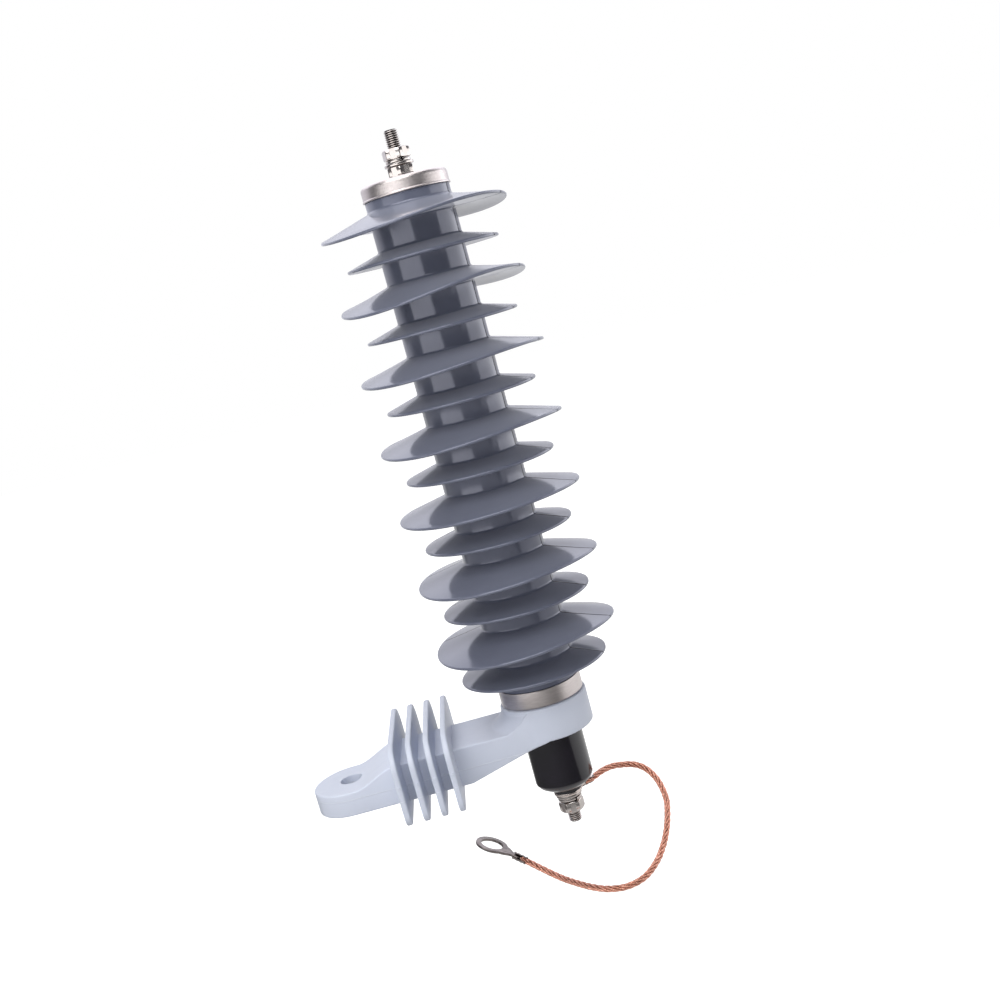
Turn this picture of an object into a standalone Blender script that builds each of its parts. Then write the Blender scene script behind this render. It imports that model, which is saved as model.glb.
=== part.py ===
"""Distribution surge arrester on an insulating bracket, with a ground lead.

Metres, +Z up along the arrester's axis. The origin is on the underside of the bracket's pad,
on its centre line, between the bolt hole and the fins. The arm runs along -X.
"""
import math

import bmesh
import bpy
from mathutils import Matrix, Vector

# Shared values
GAP = 0.0003                      # clearance between pieces that touch
LARGE_SIDES = 28                  # facets of the housing, caps and case
SMALL_SIDES = 20                  # facets of studs, washers and bores

# Bracket, one moulding: pad, finned arm and boss
HOLE_TO_AXIS = 0.156              # pad's bolt hole to the arrester's axis
HOLE_TO_SEAT = 0.020              # bolt hole to the origin
PAD_HOLE_RADIUS = 0.0085
PAD_THICKNESS = 0.018
ARM_WIDTH = 0.058
ARM_THICKNESS = 0.0292
RAMP_LENGTH = 0.034               # climb from the pad's top to the arm's top
RAMP_TO_AXIS = 0.119              # upper end of that climb
HEEL_RADIUS = 0.017               # hollow turned round the boss, above the arm
HEEL_INSET = 0.0004               # heel's sides, in from the arm's sides
HEEL_SINK = 0.0009                # heel's ends, inside the arm's top and the boss's side
BOSS_MARGIN = 0.004               # boss's radius over half the arm's width
BOSS_HEIGHT = 0.026
BOSS_LIFT = 0.017                 # boss's underside above the pad's
SLOPE_START = 0.003               # arm's sloping underside, measured from the axis
SLOPE_END = 0.066
BORE_CLEARANCE = 0.0005           # round the base stud in the boss
CASE_CLEARANCE = 0.0008           # round the disconnector, where it seats under the boss
BRACKET_EDGE = 0.0014             # rounding of the arm's and the boss's edges
FIN_COUNT = 4
FIN_PITCH = 0.0132
FIN_THICKNESS = 0.0043
FIN_WIDTH = 0.120
FIN_ABOVE = 0.0198                # reach above the arm's top
FIN_BELOW = 0.009                 # reach below the pad's underside
FIN_TOP_CORNER = 0.018
FIN_FOOT_CORNER = 0.010
FIN_TO_AXIS = 0.0765              # nearest fin's middle to the arrester's axis
FIN_EDGE = 0.0009

# Silicone housing with large and small sheds in turn
HOUSING_LENGTH = 0.3671           # between the two end caps' shoulders
SHED_COUNT = 14
LARGE_SHED_RADIUS = 0.068
SMALL_SHED_RADIUS = 0.0555
SMALL_SHED_LIFT = 0.0014
SHED_RIM = 0.0024                 # thickness at the rim
SHED_TOP_SLOPE = math.radians(15)
SHED_UNDER_SLOPE = math.radians(4)
SHED_ROOT = 0.0024                # rounding where a shed meets the tube
TUBE_RADIUS = 0.0308
SILICONE_WALL = 0.0055
BOTTOM_NECK = 0.0094              # plain tube below the lowest shed
TOP_NECK = 0.0197                 # plain tube and root above the highest rim

# Pressed end caps
CAP_STEP = 0.0007                 # cap's radius over the tube's
CAP_WALL = 0.0012
CAP_FLOOR = 0.002
BOTTOM_CAP_HEIGHT = 0.013
TOP_CAP_HEIGHT = 0.011
TOP_CAP_CORNER = 0.003
BOTTOM_CAP_CORNER = 0.001
CAP_LIP = 0.0005                  # flare at the top cap's lower edge

# Core: wound tube, zinc oxide discs, electrodes and contact spring
CORE_WALL = 0.0037
DISC_COUNT = 12
BOTTOM_ELECTRODE_LENGTH = 0.040
TOP_ELECTRODE_LENGTH = 0.0436
ELECTRODE_EDGE = 0.001
CONTACT_PLATE_THICKNESS = 0.002
CONTACT_SPRING_HEIGHT = 0.003
CONTACT_SPRING_STRIP = 0.0012
CONTACT_SPRING_OPENING = 0.008
CONTACT_SPRING_INSET = 0.001

# Line terminal on top
STUD_RADIUS = 0.005
STUD_TIP = 0.0008
TOP_STUD_DEPTH = 0.028            # into the cap and the electrode
TOP_STUD_REACH = 0.0337           # above the cap
TOP_NUT_ACROSS_FLATS = 0.018
LOWER_NUT_HEIGHT = 0.008
UPPER_NUT_HEIGHT = 0.0076
UPPER_NUT_TURN = math.radians(19)
LOWER_NUT_TURN = math.radians(30)
TOP_WASHER_RADIUS = 0.0105
TOP_WASHER_THICKNESS = 0.0019
TOP_SPRING_RADIUS = 0.009
TOP_SPRING_THICKNESS = 0.0021

# Stud between the core, the bracket and the disconnector
BASE_STUD_RADIUS = 0.006
BASE_STUD_UPPER_DEPTH = 0.025
BASE_STUD_LOWER_DEPTH = 0.014

# Ground lead disconnector
CASE_RADIUS = 0.0223
CASE_HEIGHT = 0.0507
CASE_COLLAR = 0.0009
CASE_COLLAR_HEIGHT = 0.003
CASE_BARREL_HEIGHT = 0.0403
CASE_SHOULDER_DROP = 0.0032       # rounded turn below the barrel
CASE_SHOULDER_INSET = 0.0021
CASE_FOOT_RADIUS = 0.013
CASE_STEP_RADIUS = 0.011
CASE_STEP_HEIGHT = 0.0024
CASE_WALL = 0.0053
CASE_FLOOR = 0.012
STUD_HEAD_RADIUS = 0.0125
STUD_HEAD_HEIGHT = 0.004
RESISTOR_HEIGHT = 0.014
CARTRIDGE_RADIUS = 0.007
CARTRIDGE_HEIGHT = 0.013
INSERT_FLANGE = 0.005
SEAL_THICKNESS = 0.004            # resin between the insert's neck and the case

# Ground terminal and lead
GROUND_STUD_REACH = 0.026         # below the case
GROUND_NUT_ACROSS_FLATS = 0.017
GROUND_NUT_HEIGHT = 0.0084
GROUND_NUT_TURN = math.radians(12)
GROUND_WASHER_RADIUS = 0.010
GROUND_WASHER_THICKNESS = 0.0022
GROUND_SPRING_RADIUS = 0.0092
GROUND_SPRING_THICKNESS = 0.0032
SPRING_SLIT = 0.0016
SPRING_SLIT_LEAN = math.radians(30)
LEAD_RADIUS = 0.0025
CRIMPED_LEAD_RADIUS = 0.0021      # where a lug's barrel presses the strands together
LUG_PLATE = 0.002
LUG_WALL = 0.0007
LUG_TAPER = 0.4                   # barrel's closed end, as a share of its radius
LEAD_INSERTION = 0.003            # lead inside each lug's barrel
GROUND_LUG_EYE = 0.011
GROUND_LUG_NECK = 0.0118
GROUND_LUG_BARREL_START = 0.0136
GROUND_LUG_BARREL_END = 0.0186
GROUND_LUG_TURN = math.radians(25)
FREE_LUG_EYE = 0.0127
FREE_LUG_HOLE = 0.0088
FREE_LUG_NECK = 0.0155
FREE_LUG_BARREL_START = 0.0185
FREE_LUG_BARREL_END = 0.031
FREE_LUG_TOP = Vector((0.49, -0.03, 0.87))   # way that the free lug's flat side faces
FREE_LUG_EYE_PLACE = Vector((0.0677, 0.013, -0.068))
LEAD_SPACING = 0.012              # between the lead's sampled points

# Route of the ground lead between the two barrels, along the lead's middle
LEAD_ROUTE = (
    (0.1588, 0.0113, -0.0349), (0.1648, 0.0160, -0.0344), (0.1722, 0.0211, -0.0350),
    (0.1796, 0.0242, -0.0366), (0.1916, 0.0252, -0.0401), (0.1998, 0.0218, -0.0454),
    (0.2052, 0.0126, -0.0529), (0.2069, 0.0003, -0.0620), (0.2047, -0.0099, -0.0688),
    (0.1999, -0.0226, -0.0766), (0.1937, -0.0343, -0.0828), (0.1854, -0.0473, -0.0875),
    (0.1737, -0.0608, -0.0900), (0.1604, -0.0667, -0.0907), (0.1473, -0.0640, -0.0907),
    (0.1356, -0.0547, -0.0907), (0.1233, -0.0399, -0.0905), (0.1112, -0.0245, -0.0890),
    (0.1019, -0.0115, -0.0865),
)

# Levels and places that follow from the sizes
AXIS_X = HOLE_TO_AXIS - HOLE_TO_SEAT
HOLE_X = -HOLE_TO_SEAT
BOSS_RADIUS = ARM_WIDTH / 2 + BOSS_MARGIN
BOSS_TOP = BOSS_LIFT + BOSS_HEIGHT
HEEL_TOP = BOSS_TOP - GAP
CAP_RADIUS = TUBE_RADIUS + CAP_STEP
SPIGOT_RADIUS = CAP_RADIUS - CAP_WALL - GAP
CORE_RADIUS = TUBE_RADIUS - SILICONE_WALL - GAP
DISC_RADIUS = CORE_RADIUS - CORE_WALL - GAP
BOTTOM_CAP_BASE = BOSS_TOP + GAP
BOTTOM_SHOULDER = BOTTOM_CAP_BASE + BOTTOM_CAP_HEIGHT + GAP
LOWEST_RIM = BOTTOM_SHOULDER + BOTTOM_NECK
TOP_SHOULDER = BOTTOM_SHOULDER + HOUSING_LENGTH
SHED_PITCH = (HOUSING_LENGTH - BOTTOM_NECK - TOP_NECK) / (SHED_COUNT - 1)
TOP_CAP_TOP = TOP_SHOULDER + GAP + TOP_CAP_HEIGHT
CORE_BOTTOM = BOTTOM_CAP_BASE + CAP_FLOOR + GAP
CORE_TOP = TOP_CAP_TOP - CAP_FLOOR - GAP
CASE_TOP = BOSS_LIFT - GAP
CASE_BOTTOM = CASE_TOP - CASE_HEIGHT
CAVITY_RADIUS = CASE_RADIUS - CASE_WALL
CAVITY_FLOOR = CASE_BOTTOM + CASE_FLOOR
INSERT_NECK_RADIUS = CAVITY_RADIUS - SEAL_THICKNESS - 2 * GAP
BASE_STUD_TOP = CORE_BOTTOM + BASE_STUD_UPPER_DEPTH
BASE_STUD_BOTTOM = CASE_TOP - BASE_STUD_LOWER_DEPTH
BARREL_BORE = CRIMPED_LEAD_RADIUS + GAP
BARREL_RADIUS = BARREL_BORE + LUG_WALL

# Surface colours with roughness and metallic value
SILICONE = ((0.20, 0.22, 0.25), 0.35, 0.0)
STEEL = ((0.62, 0.60, 0.58), 0.25, 1.0)
ALUMINIUM = ((0.75, 0.76, 0.77), 0.35, 1.0)
WOUND_TUBE = ((0.55, 0.50, 0.30), 0.5, 0.0)
ZINC_OXIDE = ((0.10, 0.10, 0.11), 0.6, 0.0)
MOULDED = ((0.60, 0.65, 0.74), 0.4, 0.0)
BLACK_PLASTIC = ((0.012, 0.012, 0.013), 0.25, 0.0)
CERAMIC = ((0.35, 0.30, 0.27), 0.7, 0.0)
BRASS = ((0.70, 0.52, 0.22), 0.3, 1.0)
TINNED = ((0.35, 0.32, 0.30), 0.4, 1.0)
COPPER = ((0.80, 0.36, 0.22), 0.35, 1.0)


# Scene and objects

def clear_scene():
    for item in list(bpy.data.objects):
        bpy.data.objects.remove(item, do_unlink=True)


def add_collection(name):
    collection = bpy.data.collections.new(name)
    bpy.context.scene.collection.children.link(collection)
    return collection


def add_object(name, data):
    item = bpy.data.objects.new(name, data)
    PARTS.objects.link(item)
    return item


def give_finish(item, look):
    colour, roughness, metallic = look
    material = bpy.data.materials.new(item.name + "_finish")
    material.use_nodes = True
    shader = material.node_tree.nodes["Principled BSDF"]
    shader.inputs["Base Color"].default_value = (*colour, 1.0)
    shader.inputs["Roughness"].default_value = roughness
    shader.inputs["Metallic"].default_value = metallic
    item.data.materials.clear()
    item.data.materials.append(material)
    return item


def combine(target, tool, operation):
    """Cuts, joins or crosses the target with a tool, which becomes a guide."""
    PARTS.objects.unlink(tool)
    CUTTERS.objects.link(tool)
    tool.hide_render = True
    tool.display_type = "WIRE"
    modifier = target.modifiers.new(operation.title() + " " + tool.name, "BOOLEAN")
    modifier.operation = operation
    modifier.solver = "EXACT"
    modifier.object = tool
    return target


def round_edges(item, width, segments=2, angle=math.radians(40)):
    modifier = item.modifiers.new("Rounded edges", "BEVEL")
    modifier.width = width
    modifier.segments = segments
    modifier.limit_method = "ANGLE"
    modifier.angle_limit = angle
    return item


def turned(name, profile, sides, ring=True):
    """A turned piece about its own Z; a ring's profile closes on itself."""
    mesh = bpy.data.meshes.new(name)
    count = len(profile)
    edges = [(i, i + 1) for i in range(count - 1)]
    if ring:
        edges.append((count - 1, 0))
    mesh.from_pydata([(radius, 0.0, height) for radius, height in profile], edges, [])
    item = add_object(name, mesh)
    screw = item.modifiers.new("Turned", "SCREW")
    screw.steps = sides
    screw.render_steps = sides
    screw.use_merge_vertices = True
    screw.merge_threshold = 0.00002
    return item


def turned_on_axis(name, profile, sides, look, ring=True):
    item = turned(name, profile, sides, ring)
    item.location.x = AXIS_X
    return give_finish(item, look)


def rod(name, radius, bottom, top, sides=SMALL_SIDES):
    """An upright cylinder between two levels."""
    mesh = bpy.data.meshes.new(name)
    shape = bmesh.new()
    bmesh.ops.create_cone(shape, cap_ends=True, segments=sides, radius1=radius, radius2=radius,
                          depth=top - bottom)
    bmesh.ops.translate(shape, verts=shape.verts, vec=(0, 0, (top + bottom) / 2))
    shape.to_mesh(mesh)
    shape.free()
    return add_object(name, mesh)


def block(name, size, centre):
    mesh = bpy.data.meshes.new(name)
    shape = bmesh.new()
    bmesh.ops.create_cube(shape, size=1.0, matrix=Matrix.Diagonal((*size, 1.0)))
    shape.to_mesh(mesh)
    shape.free()
    item = add_object(name, mesh)
    item.location = centre
    return item


def outline_plate(name, outline, thickness, placement):
    """A flat plate from an outline, as a mesh that can be cut."""
    curve = bpy.data.curves.new(name, "CURVE")
    curve.dimensions = "2D"
    curve.fill_mode = "BOTH"
    curve.extrude = thickness / 2
    spline = curve.splines.new("POLY")
    spline.points.add(len(outline) - 1)
    for point, (x, y) in zip(spline.points, outline):
        point.co = (x, y, 0.0, 1.0)
    spline.use_cyclic_u = True
    drawn = add_object(name + "_outline", curve)
    drawn.matrix_world = placement
    bpy.context.view_layer.update()
    graph = bpy.context.evaluated_depsgraph_get()
    mesh = bpy.data.meshes.new_from_object(drawn.evaluated_get(graph))
    shape = bmesh.new()
    shape.from_mesh(mesh)
    bmesh.ops.remove_doubles(shape, verts=shape.verts, dist=0.00001)
    shape.to_mesh(mesh)
    shape.free()
    item = add_object(name, mesh)
    item.matrix_world = drawn.matrix_world
    bpy.data.objects.remove(drawn, do_unlink=True)
    return item


def arc(centre_x, centre_y, radius, start, end, steps):
    """Points of an arc between two angles in degrees, both ends included."""
    points = []
    for i in range(steps + 1):
        angle = math.radians(start + (end - start) * i / steps)
        points.append((centre_x + radius * math.cos(angle), centre_y + radius * math.sin(angle)))
    return points


# Bracket

def arm_side_outline():
    """Side view of the pad, ramp, arm and sloping underside, with x measured from the axis."""
    pad_end = -HOLE_TO_AXIS - ARM_WIDTH
    climb = ARM_THICKNESS - PAD_THICKNESS
    points = [(0.0, BOSS_LIFT), (0.0, ARM_THICKNESS)]
    ramp_steps = 8
    for i in range(ramp_steps + 1):
        share = i / ramp_steps
        ease = share * share * (3 - 2 * share)
        points.append((-RAMP_TO_AXIS - RAMP_LENGTH * share, ARM_THICKNESS - climb * ease))
    points += [(pad_end, PAD_THICKNESS), (pad_end, 0.0), (-SLOPE_END, 0.0)]
    points.append((-SLOPE_START, BOSS_LIFT))
    return points


def heel_profile():
    """Hollow flare from inside the boss's rim down to its foot, inside the arm's top."""
    foot = ARM_THICKNESS - HEEL_SINK
    turn = math.degrees(math.acos(1 - (HEEL_TOP - foot) / HEEL_RADIUS))
    reach = BOSS_RADIUS - HEEL_SINK + HEEL_RADIUS * math.sin(math.radians(turn))
    flare = arc(reach, foot + HEEL_RADIUS, HEEL_RADIUS, 270 - turn, 270, 6)
    return [(0.0, HEEL_TOP)] + flare + [(reach, foot - GAP), (0.0, foot - GAP)]


def arm_plan_outline():
    half = ARM_WIDTH / 2
    return [(0.0, -half), (0.0, half)] + arc(-HOLE_TO_AXIS, 0.0, half, 90, 270, 16)


def fin_outline():
    """A fin seen along the arm: flat top, large upper corners, small lower corners."""
    half = FIN_WIDTH / 2
    top = ARM_THICKNESS + FIN_ABOVE
    foot = -FIN_BELOW
    upper, lower = FIN_TOP_CORNER, FIN_FOOT_CORNER
    return (arc(half - upper, top - upper, upper, 0, 90, 5)
            + arc(-half + upper, top - upper, upper, 90, 180, 5)
            + arc(-half + lower, foot + lower, lower, 180, 270, 4)
            + arc(half - lower, foot + lower, lower, 270, 360, 4))


def make_bracket():
    from_axis = Matrix.Translation((AXIS_X, 0, 0))
    side_on = from_axis @ Matrix.Rotation(math.radians(90), 4, "X")
    tall = 2 * BOSS_TOP
    bracket = outline_plate("bracket", arm_side_outline(), 2 * ARM_WIDTH, side_on)
    plan = outline_plate("arm_plan", arm_plan_outline(), 2 * tall, from_axis)
    combine(bracket, plan, "INTERSECT")
    round_edges(bracket, BRACKET_EDGE)
    heel = turned("heel", heel_profile(), LARGE_SIDES, ring=False)
    heel.location.x = AXIS_X
    heel_side = HOLE_TO_AXIS
    heel_sides = block("heel_sides", (heel_side, ARM_WIDTH - 2 * HEEL_INSET, tall), (AXIS_X - heel_side / 2, 0, 0))
    combine(heel, heel_sides, "INTERSECT")
    combine(bracket, heel, "UNION")
    boss = rod("boss", BOSS_RADIUS, BOSS_LIFT, BOSS_TOP, LARGE_SIDES)
    boss.location.x = AXIS_X
    round_edges(boss, BRACKET_EDGE)
    combine(bracket, boss, "UNION")
    across = Matrix.Rotation(math.radians(90), 4, "Z") @ Matrix.Rotation(math.radians(90), 4, "X")
    for i in range(FIN_COUNT):
        place = Matrix.Translation((AXIS_X - FIN_TO_AXIS - i * FIN_PITCH, 0, 0)) @ across
        fin = outline_plate("fin_%d" % (i + 1), fin_outline(), FIN_THICKNESS, place)
        round_edges(fin, FIN_EDGE, 1)
        combine(bracket, fin, "UNION")
    seat = rod("case_seat", CASE_RADIUS + CASE_COLLAR + CASE_CLEARANCE, -BOSS_TOP, BOSS_LIFT, LARGE_SIDES)
    bore = rod("boss_bore", BASE_STUD_RADIUS + BORE_CLEARANCE, -BOSS_TOP, 2 * BOSS_TOP)
    for cut in (seat, bore):
        cut.location.x = AXIS_X
        combine(bracket, cut, "DIFFERENCE")
    hole = rod("pad_bore", PAD_HOLE_RADIUS, -BOSS_TOP, 2 * BOSS_TOP)
    hole.location.x = HOLE_X
    combine(bracket, hole, "DIFFERENCE")
    return give_finish(bracket, MOULDED)


# Housing and end caps

def shed_profile(rim, radius):
    """One shed from its upper root, round its rim, to its lower root."""
    reach = radius - TUBE_RADIUS
    top_root = rim + SHED_RIM + reach * math.tan(SHED_TOP_SLOPE)
    under_root = rim + reach * math.tan(SHED_UNDER_SLOPE)
    return [
        (TUBE_RADIUS, top_root + SHED_ROOT / 2),
        (TUBE_RADIUS + SHED_ROOT, top_root - SHED_ROOT * math.tan(SHED_TOP_SLOPE)),
        (radius - SHED_RIM * 0.5, rim + SHED_RIM),
        (radius, rim + SHED_RIM * 0.5),
        (radius - SHED_RIM * 0.5, rim),
        (TUBE_RADIUS + SHED_ROOT, under_root - SHED_ROOT * math.tan(SHED_UNDER_SLOPE)),
        (TUBE_RADIUS, under_root - SHED_ROOT),
    ]


def make_housing():
    profile = [(SPIGOT_RADIUS, CORE_TOP), (SPIGOT_RADIUS, TOP_SHOULDER), (TUBE_RADIUS, TOP_SHOULDER)]
    for i in reversed(range(SHED_COUNT)):
        rim = LOWEST_RIM + i * SHED_PITCH
        if i % 2:
            profile += shed_profile(rim, LARGE_SHED_RADIUS)
        else:
            profile += shed_profile(rim + SMALL_SHED_LIFT, SMALL_SHED_RADIUS)
    profile += [(TUBE_RADIUS, BOTTOM_SHOULDER), (SPIGOT_RADIUS, BOTTOM_SHOULDER),
                (SPIGOT_RADIUS, CORE_BOTTOM)]
    bore = CORE_RADIUS + GAP
    profile += [(bore, CORE_BOTTOM), (bore, CORE_TOP)]
    return turned_on_axis("housing", profile, LARGE_SIDES, SILICONE)


def make_top_cap():
    inner = CAP_RADIUS - CAP_WALL
    hole = STUD_RADIUS + GAP
    base = TOP_SHOULDER + GAP
    corner = arc(CAP_RADIUS - TOP_CAP_CORNER, TOP_CAP_TOP - TOP_CAP_CORNER, TOP_CAP_CORNER, 90, 0, 2)
    profile = [(hole, TOP_CAP_TOP)] + corner + [
        (CAP_RADIUS, base + 3 * CAP_LIP), (CAP_RADIUS + CAP_LIP, base + CAP_LIP), (CAP_RADIUS + CAP_LIP, base),
        (inner, base), (inner, TOP_CAP_TOP - CAP_FLOOR), (hole, TOP_CAP_TOP - CAP_FLOOR)]
    return turned_on_axis("top_cap", profile, LARGE_SIDES, STEEL)


def make_bottom_cap():
    inner = CAP_RADIUS - CAP_WALL
    hole = BASE_STUD_RADIUS + GAP
    base = BOTTOM_CAP_BASE
    top = base + BOTTOM_CAP_HEIGHT
    corner = arc(CAP_RADIUS - BOTTOM_CAP_CORNER, base + BOTTOM_CAP_CORNER, BOTTOM_CAP_CORNER, 0, -90, 2)
    profile = [(CAP_RADIUS, top)] + corner + [
        (hole, base), (hole, base + CAP_FLOOR), (inner, base + CAP_FLOOR), (inner, top)]
    return turned_on_axis("bottom_cap", profile, LARGE_SIDES, STEEL)


# Core

def make_electrode(name, bottom, top, bore_radius, bore_end, opens_up):
    """An end electrode with a blind hole for its stud, open at the end that faces the cap."""
    edge = ELECTRODE_EDGE
    if opens_up:
        profile = [(bore_radius, top), (DISC_RADIUS - edge, top), (DISC_RADIUS, top - edge),
                   (DISC_RADIUS, bottom), (0.0, bottom), (0.0, bore_end), (bore_radius, bore_end)]
    else:
        profile = [(0.0, top), (DISC_RADIUS, top), (DISC_RADIUS, bottom + edge),
                   (DISC_RADIUS - edge, bottom), (bore_radius, bottom), (bore_radius, bore_end),
                   (0.0, bore_end)]
    # The profile stays open along the axis, where its two ends meet.
    if opens_up:
        profile = profile[5:] + profile[:5]
    return turned_on_axis(name, profile, LARGE_SIDES, ALUMINIUM, ring=False)


def make_core():
    outer = CORE_RADIUS
    inner = CORE_RADIUS - CORE_WALL
    turned_on_axis("core_tube", [(outer, CORE_TOP), (outer, CORE_BOTTOM), (inner, CORE_BOTTOM), (inner, CORE_TOP)],
                   LARGE_SIDES, WOUND_TUBE)
    bottom_top = CORE_BOTTOM + BOTTOM_ELECTRODE_LENGTH
    make_electrode("bottom_electrode", CORE_BOTTOM, bottom_top, BASE_STUD_RADIUS + GAP,
                   BASE_STUD_TOP + GAP, opens_up=False)
    room = (CORE_TOP - bottom_top - TOP_ELECTRODE_LENGTH
            - CONTACT_PLATE_THICKNESS - CONTACT_SPRING_HEIGHT - 3 * GAP)
    disc_pitch = room / DISC_COUNT
    level = bottom_top + GAP
    for i in range(DISC_COUNT):
        disc = rod("disc_%02d" % (i + 1), DISC_RADIUS, level, level + disc_pitch - GAP, SMALL_SIDES)
        disc.location.x = AXIS_X
        give_finish(disc, ZINC_OXIDE)
        level += disc_pitch
    plate = rod("contact_plate", DISC_RADIUS, level, level + CONTACT_PLATE_THICKNESS, SMALL_SIDES)
    plate.location.x = AXIS_X
    give_finish(plate, BRASS)
    level += CONTACT_PLATE_THICKNESS + GAP
    make_contact_spring(level)
    level += CONTACT_SPRING_HEIGHT + GAP
    make_electrode("top_electrode", level, CORE_TOP, STUD_RADIUS + GAP,
                   TOP_CAP_TOP - TOP_STUD_DEPTH - GAP, opens_up=True)


def make_contact_spring(base):
    """A shallow cone washer that keeps the disc stack pressed together."""
    outer = DISC_RADIUS - CONTACT_SPRING_INSET
    inner = CONTACT_SPRING_OPENING
    top = base + CONTACT_SPRING_HEIGHT
    strip = CONTACT_SPRING_STRIP
    profile = [(inner, top), (outer, base + strip), (outer, base), (inner, top - strip)]
    return turned_on_axis("contact_spring", profile, SMALL_SIDES, STEEL)


# Studs, nuts and washers

def make_stud(name, radius, bottom, top):
    profile = [(0.0, top), (radius - STUD_TIP, top), (radius, top - STUD_TIP), (radius, bottom + STUD_TIP),
               (radius - STUD_TIP, bottom), (0.0, bottom)]
    return turned_on_axis(name, profile, SMALL_SIDES, STEEL, ring=False)


def make_nut(name, across_flats, bottom, height, turn, bore_radius):
    """A hexagon nut whose corners are cut back by a cone at both ends."""
    corner = across_flats / 2 / math.cos(math.radians(30))
    rest = corner - across_flats / 2 * 0.97
    drop = rest * math.tan(math.radians(30))
    top = bottom + height
    nut = rod(name, corner, bottom, top, 6)
    nut.rotation_euler.z = turn
    nut.location.x = AXIS_X
    inner = corner - rest
    outer = corner + GAP
    cone = turned(name + "_cone", [(0.0, top + GAP), (inner, top + GAP), (outer, top - drop), (outer, bottom + drop),
                                   (inner, bottom - GAP), (0.0, bottom - GAP)], SMALL_SIDES, ring=False)
    cone.location.x = AXIS_X
    combine(nut, cone, "INTERSECT")
    bore = rod(name + "_bore", bore_radius, bottom - height, top + height)
    bore.location.x = AXIS_X
    combine(nut, bore, "DIFFERENCE")
    return give_finish(nut, STEEL)


def make_washer(name, radius, bottom, thickness, bore_radius):
    top = bottom + thickness
    profile = [(radius, top), (radius, bottom), (bore_radius, bottom), (bore_radius, top)]
    return turned_on_axis(name, profile, SMALL_SIDES, STEEL)


def make_spring_washer(name, radius, bottom, thickness, bore_radius):
    """A split washer, with a slanting slit on the side away from the arm."""
    washer = make_washer(name, radius, bottom, thickness, bore_radius)
    slit = block(name + "_slit", (2 * radius, SPRING_SLIT, 4 * thickness),
                 (AXIS_X + radius, 0, bottom + thickness / 2))
    slit.rotation_euler.x = SPRING_SLIT_LEAN
    return combine(washer, slit, "DIFFERENCE")


def make_line_terminal():
    bore = STUD_RADIUS + GAP
    make_stud("top_stud", STUD_RADIUS, TOP_CAP_TOP - TOP_STUD_DEPTH, TOP_CAP_TOP + TOP_STUD_REACH)
    level = TOP_CAP_TOP + GAP
    make_nut("lower_nut", TOP_NUT_ACROSS_FLATS, level, LOWER_NUT_HEIGHT, LOWER_NUT_TURN, bore)
    level += LOWER_NUT_HEIGHT + GAP
    make_washer("top_washer", TOP_WASHER_RADIUS, level, TOP_WASHER_THICKNESS, bore)
    level += TOP_WASHER_THICKNESS + GAP
    make_spring_washer("top_spring_washer", TOP_SPRING_RADIUS, level, TOP_SPRING_THICKNESS, bore)
    level += TOP_SPRING_THICKNESS + GAP
    make_nut("upper_nut", TOP_NUT_ACROSS_FLATS, level, UPPER_NUT_HEIGHT, UPPER_NUT_TURN, bore)


# Disconnector

def make_disconnector():
    make_case()
    fit = CAVITY_RADIUS - GAP
    head_bottom = CAVITY_FLOOR + GAP
    head_top = head_bottom + STUD_HEAD_HEIGHT
    stud_end = CASE_BOTTOM - GROUND_STUD_REACH
    turned_on_axis("ground_stud", [
        (0.0, head_top), (STUD_HEAD_RADIUS, head_top), (STUD_HEAD_RADIUS, head_bottom), (STUD_RADIUS, head_bottom),
        (STUD_RADIUS, stud_end + STUD_TIP), (STUD_RADIUS - STUD_TIP, stud_end), (0.0, stud_end)],
        SMALL_SIDES, STEEL, ring=False)
    inner_base = head_top + GAP
    ring_top = inner_base + RESISTOR_HEIGHT
    ring_hole = CARTRIDGE_RADIUS + GAP
    turned_on_axis("grading_resistor", [
        (fit, ring_top), (fit, inner_base), (ring_hole, inner_base), (ring_hole, ring_top)],
        SMALL_SIDES, CERAMIC)
    cartridge = rod("cartridge", CARTRIDGE_RADIUS, inner_base, inner_base + CARTRIDGE_HEIGHT)
    cartridge.location.x = AXIS_X
    give_finish(cartridge, BRASS)
    flange_base = ring_top + GAP
    flange_top = flange_base + INSERT_FLANGE
    thread = BASE_STUD_RADIUS + GAP
    thread_end = BASE_STUD_BOTTOM - GAP
    turned_on_axis("threaded_insert", [
        (0.0, thread_end), (thread, thread_end), (thread, CASE_TOP), (INSERT_NECK_RADIUS, CASE_TOP),
        (INSERT_NECK_RADIUS, flange_top), (fit, flange_top), (fit, flange_base), (0.0, flange_base)],
        SMALL_SIDES, STEEL, ring=False)
    seal_base = flange_top + GAP
    seal_hole = INSERT_NECK_RADIUS + GAP
    turned_on_axis("case_seal", [
        (fit, CASE_TOP), (fit, seal_base), (seal_hole, seal_base), (seal_hole, CASE_TOP)],
        SMALL_SIDES, BLACK_PLASTIC)


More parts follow.
